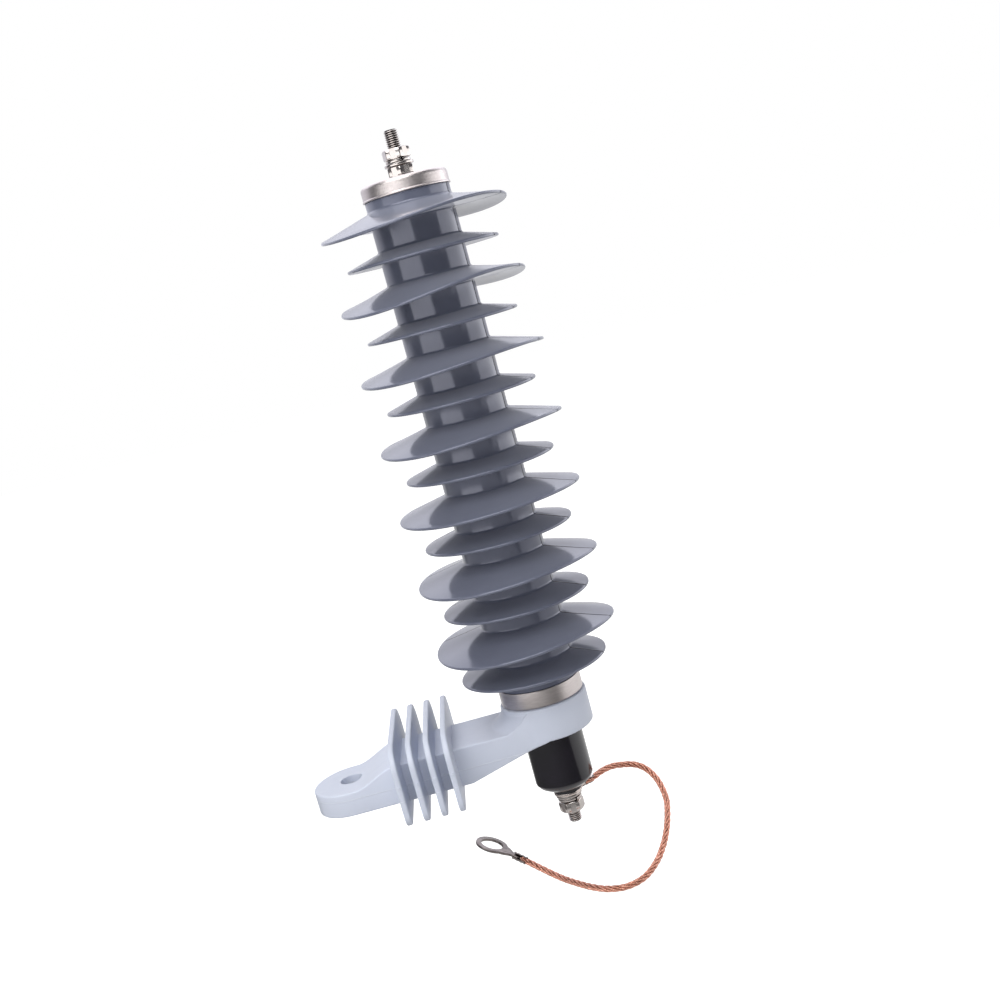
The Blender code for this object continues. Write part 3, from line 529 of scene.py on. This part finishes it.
def housing_profile():
    """Outer profile from top to bottom, closed through the bore."""
    low, high = SHOULDERS
    bottom, top = CORE_LEVELS
    corners = [(SPIGOT_RADIUS, top, 0), (SPIGOT_RADIUS, high, 0), (TUBE_RADIUS, high, SHOULDER_FILLET)]
    for i in reversed(range(SHED_COUNT)):
        large = i % 2 == 1
        radius = LARGE_SHED if large else SMALL_SHED
        rim = LOWEST_RIM + i * SHED_PITCH + (0 if large else SMALL_SHED_LIFT)
        reach = radius - TUBE_RADIUS
        corners += [(TUBE_RADIUS, rim + SHED_RIM + reach * TOP_SLOPE, ROOT_FILLETS[0]),
                    (radius, rim + SHED_RIM - RIM_DROP, RIM_FILLETS[0]), (radius, rim, RIM_FILLETS[1]),
                    (TUBE_RADIUS, rim + reach * UNDER_SLOPE, ROOT_FILLETS[1])]
    corners += [(TUBE_RADIUS, low, SHOULDER_FILLET), (SPIGOT_RADIUS, low, 0), (SPIGOT_RADIUS, bottom, 0),
                (BORE_RADIUS, bottom, 0), (BORE_RADIUS, top, 0)]
    rows = []
    for a, b in zip(corners, corners[1:]):
        rows.append(a)
        if abs(a[0] - b[0]) > LONG_FLANK:
            for k in range(1, FLANK_PARTS):
                share = k / FLANK_PARTS
                rows.append((a[0] + (b[0] - a[0]) * share, a[1] + (b[1] - a[1]) * share, 0))
    rows.append(corners[-1])
    return fillet_path(rows, 18)


def shed_waves(profile):
    """How far each point of the profile waves: only on large sheds, and more towards their rims."""
    waves = []
    start = TUBE_RADIUS + WAVE_START
    middle, half_zone = WAVE_ZONE
    for radius, height in profile:
        above = height - LOWEST_RIM - SHED_PITCH
        shed = min(max(round(above / (2 * SHED_PITCH)), 0), len(SHED_TWIST) - 1)
        share = max(0.0, (radius - start) / (LARGE_SHED - start))
        on_large = abs(above - shed * 2 * SHED_PITCH - middle) < half_zone
        waves.append(SHED_TWIST[-1 - shed] * share ** WAVE_POWER * on_large)
    return waves


def make_housing(material):
    profile = housing_profile()
    mesh = lathe("housing", profile, HOUSING_SIDES, wave=shed_waves(profile))
    add_piece("silicone_housing", mesh, "housing", material)


def make_caps(material):
    mesh = lathe("top_cap", fillet_path(TOP_CAP)[:-1], CAP_SIDES)
    add_piece("pressed_top_cap", mesh, "top_cap", material)
    mesh = lathe("bottom_cap", fillet_path(BOTTOM_CAP)[:-1], CAP_SIDES)
    add_piece("pressed_bottom_cap", mesh, "bottom_cap", material)


# Bracket

def arm_top(x, y):
    """Height of the pad, ramp and arm, with the hollow heel that flares up to the boss."""
    share = min(max((-x - RAMP[0]) / RAMP[1], 0), 1)
    level = ARM_TOP - (ARM_TOP - PAD_TOP) * share * share * (3 - 2 * share)
    reach = HEEL_REACH - math.hypot(x, y)
    if reach <= 0:
        return level
    reach = min(reach, HEEL_RADIUS * HEEL_LIMIT)
    heel = ARM_TOP - HEEL_START + HEEL_RADIUS - math.sqrt(HEEL_RADIUS ** 2 - reach ** 2)
    return min(max(level, heel), BOSS[2] - BOSS_LIP)


def arm_underside(x):
    return BOSS[1] * min(max((x + SLOPE[1]) / (SLOPE[1] - SLOPE[0]), 0), 1)


def arm_half_width(x):
    """Half the arm's width, which widens along a hollow into the boss's side."""
    radius = BOSS[0]
    start = -math.sqrt((radius + BLEND_RADIUS) ** 2 - (ARM_HALF + BLEND_RADIUS) ** 2)
    if x <= start:
        return ARM_HALF
    if x <= start * radius / (radius + BLEND_RADIUS):
        return ARM_HALF + BLEND_RADIUS - math.sqrt(BLEND_RADIUS ** 2 - (x - start) ** 2)
    return math.sqrt(radius ** 2 - x * x) - ARM_SINK


def arm_ring(x, half, normal):
    """One section of the arm: across the top, down one side, across the bottom and up the other side."""
    normal = Vector(normal)
    edge = min(BRACKET_EDGE, half)
    inner = Vector((x, half)) - normal * edge
    points = []
    for k in range(TOP_STEPS + 1):
        y = -inner.y + 2 * inner.y * k / TOP_STEPS
        points.append((inner.x, y, arm_top(inner.x, y)))
    side = []
    level = arm_top(inner.x, inner.y)
    base = arm_underside(x)
    for k in range(1, EDGE_STEPS + 1):
        angle = math.radians(90 * k / EDGE_STEPS)
        out = inner + normal * edge * math.sin(angle)
        side.append((out.x, out.y, level - edge * (1 - math.cos(angle))))
    for k in range(EDGE_STEPS + 1):
        angle = math.radians(90 * k / EDGE_STEPS)
        out = inner + normal * edge * math.cos(angle)
        side.append((out.x, out.y, base + edge * (1 - math.sin(angle))))
    points += side
    points += [(px, -py, pz) for px, py, pz in reversed(side)]
    return points


def make_arm():
    """Arm and pad; the pad's rounded end closes in a row of points at its tip."""
    stations = np.concatenate([np.arange(*span) for span in ARM_SPANS])
    rings = [arm_ring(-x, arm_half_width(-x), (0, 1)) for x in stations]
    for angle in np.radians(np.arange(0, 90, 5)):
        normal = (-math.sin(angle), math.cos(angle))
        rings.append(arm_ring(-HOLE_TO_AXIS + ARM_HALF * normal[0], ARM_HALF * normal[1], normal))
    tip = -HOLE_TO_AXIS - ARM_HALF
    rings.append([(tip, 0.0, min(max(z, BRACKET_EDGE), PAD_TOP - BRACKET_EDGE)) for _, _, z in rings[-1]])
    return rings_mesh("arm", rings)


def fin_ring(inset, x):
    """A fin's outline, drawn in by an inset."""
    half, top, foot = FIN_BOX[0] - inset, FIN_BOX[1] - inset, FIN_BOX[2] + inset
    large, small = FIN_CORNERS[0] - inset, FIN_CORNERS[1] - inset
    corners = ((half - large, top - large, large, 0), (large - half, top - large, large, 90),
               (small - half, foot + small, small, 180), (half - small, foot + small, small, 270))
    points = []
    for y, z, radius, start in corners:
        for k in range(CORNER_STEPS + 1):
            angle = math.radians(start + 90 * k / CORNER_STEPS)
            points.append((x, y + radius * math.cos(angle), z + radius * math.sin(angle)))
    return points


def make_fin(x):
    half = FIN_THICKNESS / 2
    angles = np.radians(np.arange(0, 91, 22.5))
    rows = [(FIN_EDGE * (1 - math.sin(a)), -half + FIN_EDGE * (1 - math.cos(a))) for a in angles]
    rows += [(inset, -place) for inset, place in reversed(rows)]
    return rings_mesh("fin", [fin_ring(inset, x + place) for inset, place in rows])


def ejector_nub(x):
    """The small round mark that the mould leaves on a fin's front edge."""
    profile = [(0, -NUB_SUNK), (NUB_RADIUS, -NUB_SUNK), (NUB_RADIUS, 0.0),
               (NUB_RADIUS * NUB_ROUNDING, NUB_PROUD * NUB_ROUNDING), (0, NUB_PROUD)]
    nub = lathe("nub", profile, NUB_SIDES, ring=False)
    nub.transform(Matrix.Translation((x, -FIN_BOX[0], NUB_LEVEL)) @ Matrix.Rotation(math.radians(90), 4, "X"))
    return nub


def make_bracket(material):
    radius, low, high = BOSS
    boss = lathe("boss", washer_section(BOSS_BORE, radius, low, high, BRACKET_EDGE), WASHER_SIDES)
    seat = drill(SEAT_RADIUS, -high, low, WASHER_SIDES)
    bore = drill(BOSS_BORE, -high, 2 * high, BORE_SIDES)
    arm = cut_away(make_arm(), [seat, bore])
    hole = drill(PAD_HOLE, -high, 2 * high, HOLE_SIDES)
    hole.transform(Matrix.Translation((-HOLE_TO_AXIS, 0, 0)))
    arm = cut_away(arm, [hole])
    places = [-FIN_TO_AXIS - i * FIN_PITCH for i in range(FIN_COUNT)]
    parts = [arm, boss] + [make_fin(x) for x in places] + [ejector_nub(x) for x in places]
    mesh = join_meshes("bracket", parts)
    add_piece("moulded_bracket", mesh, "bracket", material, sharp=35)


# Disconnector

def make_case(material):
    mesh = lathe("case", fillet_path(CASE), CAP_SIDES)
    add_piece("disconnector_shell", mesh, "disconnector_case", material)


# Threads, nuts and washers

def thread_rows(low, high):
    """Rings of a threaded rod between two levels, with a bevelled end at each."""
    rings = []
    angles = np.arange(THREAD_SIDES) * 2 * math.pi / THREAD_SIDES
    for z in np.arange(low, high + THREAD_STEP / 2, THREAD_STEP):
        phase = (z / THREAD_PITCH - angles / (2 * math.pi)) % 1.0
        depth = THREAD_DEPTH * (1 - np.clip((np.abs(phase - 0.5) - ROOT_HALF_FLAT) / FLANK, 0, 1))
        end = max(0.0, STUD_BEVEL - min(z - low, high - z))
        reach = np.minimum(STUD_RADIUS - depth, STUD_RADIUS - end)
        level = np.full(THREAD_SIDES, z)
        rings.append(np.stack([reach * np.cos(angles), reach * np.sin(angles), level], axis=1))
    return rings


def make_threaded_studs(material):
    stud = rings_mesh("stud", thread_rows(*LINE_STUD))
    add_piece("threaded_line_stud", stud, "top_stud", material, sharp=60)
    head = lathe("head", washer_section(*GROUND_STUD_HEAD), THREAD_SIDES)
    stud = join_meshes("ground_stud", [rings_mesh("rod", thread_rows(*GROUND_STUD)), head])
    add_piece("threaded_ground_stud", stud, "ground_stud", material, sharp=60)


def nut_mesh(across_flats, low, height, turn):
    """A hexagon nut with both ends turned down by a cone and a countersunk bore."""
    flat = across_flats / 2
    angles = np.radians(np.arange(0, 360, NUT_STEP)) + NUT_OFFSET
    hexagon = flat / np.cos((angles % math.radians(60)) - math.radians(30))
    hexagon = np.minimum(hexagon, flat * NUT_CORNER)
    face = NUT_FACE * flat
    drop = (hexagon - face) * NUT_BEVEL
    full = np.ones_like(angles)
    end = [(NUT_BORE * full, NUT_MOUTH_DEPTH * full), (NUT_MOUTH * full, 0 * full), (face * full, 0 * full),
           (face + (hexagon - face) * NUT_CROWN[0], drop * NUT_CROWN[1]),
           (hexagon - NUT_RIM[0], drop * NUT_RIM[1]), (hexagon, drop + NUT_SOFT_EDGE)]
    rows = [(r, low + height - depth) for r, depth in end]
    rows += [(r, low + depth) for r, depth in reversed(end)]
    rings = [np.stack([r * np.cos(angles + turn), r * np.sin(angles + turn), z], axis=1) for r, z in rows]
    return rings_mesh("nut", rings, ring_of_rows=True)


def make_nuts(material):
    for name, solid, size, low, height, turn in NUTS:
        mesh = nut_mesh(size, low, height, math.radians(turn))
        add_piece(name, mesh, solid, material, sharp=28)


def make_washers(material):
    for name, solid, radius, low, high in WASHERS:
        mesh = lathe("washer", washer_section(WASHER_BORE, radius, low, high, WASHER_EDGE), WASHER_SIDES)
        add_piece(name, mesh, solid, material)


def make_spring_washers(material):
    """Split washers: a rounded square section that climbs once round, between its two cut ends."""
    for name, solid, radius, low, high, strip, cut in SPRING_WASHERS:
        rings = []
        for i in range(SPRING_ROWS + 1):
            share = i / SPRING_ROWS
            angle = math.radians(cut + SPRING_CUT / 2 + (360 - SPRING_CUT) * share)
            base = low + (high - low - strip) * share
            section = washer_section(SPRING_BORE, radius, base, base + strip, SPRING_EDGE)
            rings.append([(r * math.cos(angle), r * math.sin(angle), z) for r, z in section])
        add_piece(name, rings_mesh("spring", rings), solid, material)


# Ground lead and its lugs

def free_lug_placement():
    along = (Vector(LEAD_ROUTE[-1]) - FREE_LUG_EYE).normalized()
    side = FREE_LUG_TOP.cross(along).normalized()
    turn = Matrix((along, side, along.cross(side))).transposed().to_4x4()
    return Matrix.Translation(FREE_LUG_EYE) @ turn


def ground_lug_placement():
    return Matrix.Translation((AXIS_X, 0, GROUND_LUG_Z)) @ Matrix.Rotation(GROUND_LUG_TURN, 4, "Z")


def lug_outline(eye, neck, neck_half, end):
    """Outline of a lug's flat: a round eye that narrows along smooth shoulders into the barrel's strap."""
    points = []
    for k in range(EYE_STEPS + 1):
        angle = EYE_OPENING + (2 * math.pi - 2 * EYE_OPENING) * k / EYE_STEPS
        points.append(Vector((eye * math.cos(angle), eye * math.sin(angle))))
    last = points[-1]
    tail = []
    for k in range(1, NECK_STEPS + 1):
        t = k / NECK_STEPS
        ease = t * t * (3 - 2 * t)
        tail.append(Vector((last.x + (neck - last.x) * t, last.y + (-neck_half - last.y) * ease)))
    points += tail + [Vector((end, -neck_half)), Vector((end, neck_half))]
    points += [Vector((p.x, -p.y)) for p in reversed(tail)]
    return points


def plate_mesh(outline, low, high, edge):
    """A flat plate with rounded edges from a counter-clockwise outline."""
    count = len(outline)
    inward = []
    for i in range(count):
        run = (outline[(i + 1) % count] - outline[i - 1]).normalized()
        inward.append(Vector((-run.y, run.x)))
    part = edge * PLATE_ROUNDING
    rings = []
    for inset, z in ((edge, low), (part, low + part), (0, low + edge), (0, high - edge), (part, high - part),
                     (edge, high)):
        rings.append([(p.x + n.x * inset, p.y + n.y * inset, z) for p, n in zip(outline, inward)])
    return rings_mesh("plate", rings)


def crimp_barrel(start, end, radius, wall, opening, facing):
    """A folded barrel: a tube of sheet that stays open towards one side, pressed in by ribs."""
    rings = []
    for x in np.linspace(start, end, BARREL_ROWS):
        share = (x - start) / (end - start)
        pinch = 1 - RIB_DEPTH * math.sin(RIB_COUNT * math.pi * share) ** 2
        outer = []
        inner = []
        for k in range(BARREL_SIDES + 1):
            angle = math.radians(facing + opening / 2 + (360 - opening) * k / BARREL_SIDES)
            outer.append((x, radius * math.cos(angle), radius * pinch * math.sin(angle)))
            inner.append((x, (radius - wall) * math.cos(angle), (radius * pinch - wall) * math.sin(angle)))
        rings.append(outer + list(reversed(inner)))
    return rings_mesh("barrel", rings)


def make_lug(name, solid, lug, placement, material):
    (hole, sides), outline, barrel = lug
    plate = plate_mesh(lug_outline(*outline), -LUG_HALF, LUG_HALF, LUG_EDGE)
    plate = cut_away(plate, [drill(hole, -DRILL_REACH, DRILL_REACH, sides)])
    mesh = join_meshes("lug", [plate, crimp_barrel(*barrel)])
    return add_piece(name, mesh, solid, material, sharp=40, placement=placement)


def lead_path():
    """Even points along the lead's middle, from inside one barrel to inside the other."""
    ground, free = ground_lug_placement(), free_lug_placement()
    knots = [ground @ Vector((x, 0, 0)) for x in GROUND_BARREL_KNOTS]
    knots += [Vector(p) for p in LEAD_ROUTE[:-1]]
    knots += [free @ Vector((x, 0, 0)) for x in FREE_BARREL_KNOTS]
    fine = []
    for a, b, c, e in zip(knots, knots[1:], knots[2:], knots[3:]):
        for i in range(KNOT_PARTS):
            t = i / KNOT_PARTS
            fine.append(0.5 * (2 * b + (c - a) * t + (2 * a - 5 * b + 4 * c - e) * t * t
                               + (3 * b - a - 3 * c + e) * t ** 3))
    fine.append(knots[-2])
    fine = np.array(fine)
    lengths = np.concatenate([[0], np.cumsum(np.linalg.norm(np.diff(fine, axis=0), axis=1))])
    places = np.linspace(0, lengths[-1], int(lengths[-1] / LEAD_SPACING) + 1)
    return np.stack([np.interp(places, lengths, fine[:, k]) for k in range(3)], axis=1), places


def carried_frames(path):
    """Two directions across the path at each point, carried along without twist."""
    along = np.gradient(path, axis=0)
    along /= np.linalg.norm(along, axis=1)[:, None]
    side = np.cross(along[0], (0.0, 0.0, 1.0))
    sides = []
    for direction in along:
        side = side - direction * np.dot(side, direction)
        side /= np.linalg.norm(side)
        sides.append(side)
    sides = np.array(sides)
    return sides, np.cross(along, sides)


def strand_mesh(centre, radii, side, up):
    """A round strand along its centre's points, in metres, as a mesh in millimetres."""
    angles = np.arange(STRAND_SIDES) * 2 * math.pi / STRAND_SIDES
    rings = []
    for middle, radius, across, over in zip(centre, radii, side, up):
        rings.append(middle + radius * (np.outer(np.cos(angles), across) + np.outer(np.sin(angles), over)))
    return rings_mesh("strand", np.array(rings) / MM)


def make_lead(material):
    """Six strands twisted round a seventh, drawn together where the barrels grip them."""
    path, places = lead_path()
    side, up = carried_frames(path)
    length = places[-1]
    from_end = np.minimum(places, length - places)
    squeeze = CRIMPED_RADIUS / LEAD_RADIUS
    scale = squeeze + (1 - squeeze) * np.clip((from_end - CRIMP_FADE) / CRIMP_FADE, 0, 1)
    radii = LEAD_RADIUS / 3 * STRAND_FILL * scale
    strands = []
    for s in range(STRAND_COUNT):
        turn = 2 * math.pi * (places / STRAND_PITCH + s / (STRAND_COUNT - 1))
        out = 0.0 if s == STRAND_COUNT - 1 else LEAD_RADIUS * 2 / 3
        sway = side * np.cos(turn)[:, None] + up * np.sin(turn)[:, None]
        strands.append(strand_mesh(path + sway * (out * scale)[:, None], radii, side, up))
    lead = add_piece("twisted_ground_lead", join_meshes("lead", strands), "ground_lead",
                     material, sharp=60, placement=Matrix.Identity(4))
    return lead, path, length


# Materials

def object_coords(tree, scale=(1, 1, 1)):
    mapping = node(tree, "ShaderNodeMapping")
    mapping.inputs["Scale"].default_value = scale
    tree.links.new(node(tree, "ShaderNodeTexCoord").outputs["Object"], mapping.inputs["Vector"])
    return mapping.outputs[0]


def noise_between(tree, vector, scale, detail, low, high):
    """Noise mapped from about its own range to low..high."""
    texture = node(tree, "ShaderNodeTexNoise")
    texture.inputs["Scale"].default_value = scale
    texture.inputs["Detail"].default_value = detail
    tree.links.new(vector, texture.inputs["Vector"])
    return map_range(tree, texture.outputs["Fac"], (0.3, 0.7), (low, high), "LINEAR")


def add_bump(tree, shader, height, distance):
    """Bump on top of what the shader's normal already has."""
    bump = node(tree, "ShaderNodeBump")
    bump.inputs["Strength"].default_value = 1.0
    bump.inputs["Distance"].default_value = distance
    tree.links.new(height, bump.inputs["Height"])
    normal = shader.inputs["Normal"]
    if normal.is_linked:
        tree.links.new(normal.links[0].from_socket, bump.inputs["Normal"])
    tree.links.new(bump.outputs[0], normal)


def plain_material(name, colour, other, roughness, metallic=0.0, scale=60, bump=0.00003, bump_scale=900,
                   stretch=(1, 1, 1)):
    """A material whose colour, roughness and surface vary a little."""
    material = bpy.data.materials.new(name)
    material.use_nodes = True
    tree = material.node_tree
    shader = tree.nodes["Principled BSDF"]
    shader.inputs["Base Color"].default_value = (*colour, 1)
    shader.inputs["Roughness"].default_value = roughness
    shader.inputs["Metallic"].default_value = metallic
    vector = object_coords(tree, stretch)
    share = noise_between(tree, vector, scale, 4, 0, 1)
    feed(tree, shader.inputs["Base Color"], mix(tree, "RGBA", share, (*colour, 1), (*other, 1)))
    feed(tree, shader.inputs["Roughness"],
         noise_between(tree, vector, scale * 3, 3, roughness * 0.85, roughness * 1.15))
    add_bump(tree, shader, noise_between(tree, vector, bump_scale, 3, 0, 1), bump)
    return material


def tint_over(material, mask, tint):
    """Lays a tint over the base colour where the mask is 1."""
    tree = material.node_tree
    base = tree.nodes["Principled BSDF"].inputs["Base Color"]
    feed(tree, base, mix(tree, "RGBA", mask, base.links[0].from_socket, (*tint, 1)))


def add_parting_line(material, across, offset, half_width, tint, height):
    """Adds a mould's parting line as a thin ridge with a tint laid over it; gives a mask that is 1 on the
    line.
    """
    tree = material.node_tree
    place = on_vectors(tree, "DOT_PRODUCT", object_coords(tree), across, "Value")
    distance = calculate(tree, "ABSOLUTE", calculate(tree, "SUBTRACT", place, offset))
    line = map_range(tree, distance, (0.0, half_width), (1.0, 0.0))
    tint_over(material, line, tint)
    add_bump(tree, tree.nodes["Principled BSDF"], line, height)
    return line


def silicone_material():
    """Grey silicone with a soft sheen; its parting line is a real ridge with painted shade along it, a
    near-black tint without shine or sheen.
    """
    material = plain_material("silicone", (0.110, 0.121, 0.168), (0.132, 0.144, 0.196), 0.15, scale=25,
                              bump=0.00001, bump_scale=300)
    tree = material.node_tree
    shader = tree.nodes["Principled BSDF"]
    shader.inputs["IOR"].default_value = 1.70
    shader.inputs["Specular Tint"].default_value = (0.86, 0.87, 1.0, 1)
    shader.inputs["Sheen Roughness"].default_value = 0.45
    shader.inputs["Sheen Tint"].default_value = (0.86, 0.88, 1.0, 1)
    across = (math.sin(HOUSING_PARTING_TURN), -math.cos(HOUSING_PARTING_TURN), 0.0)
    # parting line: a real ridge, with painted shade along it as a near-black tint
    line = add_parting_line(material, across, AXIS_X * across[0], half_width=0.0010,
                            tint=(0.006, 0.007, 0.012), height=0.0004)
    # painted shade: the line loses its specular shine and its sheen
    shine = map_range(tree, line, to_range=(0.5, 0.0), curve="LINEAR")
    feed(tree, shader.inputs["Specular IOR Level"], shine)
    feed(tree, shader.inputs["Sheen Weight"], shine)
    return material


def moulded_material():
    material = plain_material("moulded", (0.61, 0.65, 0.76), (0.64, 0.68, 0.79), 0.40, scale=40)
    add_parting_line(material, (0, 0, 1), BRACKET_PARTING_Z, half_width=0.0004, tint=(0.74, 0.78, 0.88),
                     height=0.0002)
    return material


def black_material():
    material = plain_material("black_plastic", (0.006, 0.005, 0.009), (0.009, 0.007, 0.013), 0.16,
                              bump=0.00001)
    material.node_tree.nodes["Principled BSDF"].inputs["Specular IOR Level"].default_value = 0.7
    return material


def threaded_material():
    """Bright steel with painted shade in its thread grooves, darker towards their roots."""
    material = plain_material("threaded_steel", (0.62, 0.58, 0.56), (0.54, 0.50, 0.48), 0.17, 1.0, scale=90,
                              bump=0.000006, bump_scale=700)
    tree = material.node_tree
    level = on_vectors(tree, "MULTIPLY", object_coords(tree), (1, 1, 0), "Vector")
    radius = on_vectors(tree, "DISTANCE", level, (AXIS_X, 0, 0), "Value")
    # painted shade: a dark tint in the grooves that fades out towards the crests
    tint_over(material, map_range(tree, radius, GROOVE_SHADE, (1, 0)), (0.06, 0.05, 0.05))
    return material


def dress_core_nodes(steel):
    """Finishes of the hidden solids, which stay as they are."""
    disc = plain_material("zinc_oxide", (0.045, 0.047, 0.050), (0.075, 0.076, 0.080), 0.62, scale=220,
                          bump=0.00008, bump_scale=1500)
    wound = plain_material("wound_glass_fibre", (0.42, 0.38, 0.20), (0.56, 0.52, 0.33), 0.38,
                           bump=0.0001, bump_scale=120, stretch=(1, 1, 14))
    aluminium = plain_material("aluminium", (0.62, 0.63, 0.64), (0.72, 0.73, 0.74), 0.34, 1.0, scale=80,
                               stretch=(1, 1, 12))
    brass = plain_material("brass", (0.62, 0.42, 0.16), (0.74, 0.55, 0.26), 0.28, 1.0, scale=120)
    ceramic = plain_material("resistor_ceramic", (0.28, 0.23, 0.20), (0.38, 0.32, 0.28), 0.7, scale=260,
                             bump=0.0001)
    resin = plain_material("resin", (0.020, 0.020, 0.022), (0.032, 0.032, 0.034), 0.35, scale=90)
    finishes = {
        "core_tube": wound, "bottom_electrode": aluminium, "top_electrode": aluminium,
        "contact_plate": aluminium, "contact_spring": steel, "base_stud": steel, "threaded_insert": brass,
        "case_seal": resin, "grading_resistor": ceramic, "cartridge": brass,
    }
    for name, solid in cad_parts.items():
        finish = disc if name.startswith("disc_") else finishes.get(name)
        if finish is not None:
            solid.data.materials.clear()
            solid.data.materials.append(finish)


# The scene

steel = plain_material("steel", (0.58, 0.54, 0.52), (0.50, 0.46, 0.44), 0.17, 1.0, scale=90, bump=0.000006,
                       bump_scale=700)
brushed = plain_material("brushed_steel", (0.64, 0.59, 0.58), (0.56, 0.51, 0.50), 0.33, 1.0, scale=140,
                         stretch=(1, 1, 6))
tinned = plain_material("tinned", (0.15, 0.13, 0.125), (0.26, 0.23, 0.22), 0.30, 1.0, scale=260)
# painted highlight: the free lug's tin in a much lighter lit copy, for the ground lug
tin_lit_copy = plain_material("tin_lit_copy", (0.80, 0.72, 0.68), (0.60, 0.53, 0.50), 0.22, 1.0, scale=260)
copper = plain_material("copper", (0.86, 0.46, 0.35), (0.48, 0.21, 0.14), 0.24, 1.0, scale=420, bump=0.0002,
                        bump_scale=1600)

add_camera()
lead, path, length = make_lead(copper)
free_lug = make_lug("crimped_free_lug", "free_lug", FREE_LUG, free_lug_placement(), tinned)
make_lug("crimped_ground_lug", "ground_lug", GROUND_LUG, ground_lug_placement(), tin_lit_copy)
make_housing(silicone_material())
make_caps(brushed)
make_bracket(moulded_material())
make_case(black_material())
make_threaded_studs(threaded_material())
make_nuts(steel)
make_washers(steel)
make_spring_washers(steel)
dress_core_nodes(steel)

add_floor()
set_world()
for lamp in LAMPS:
    add_area_light(*lamp)
bpy.context.scene.view_settings.view_transform = "Standard"
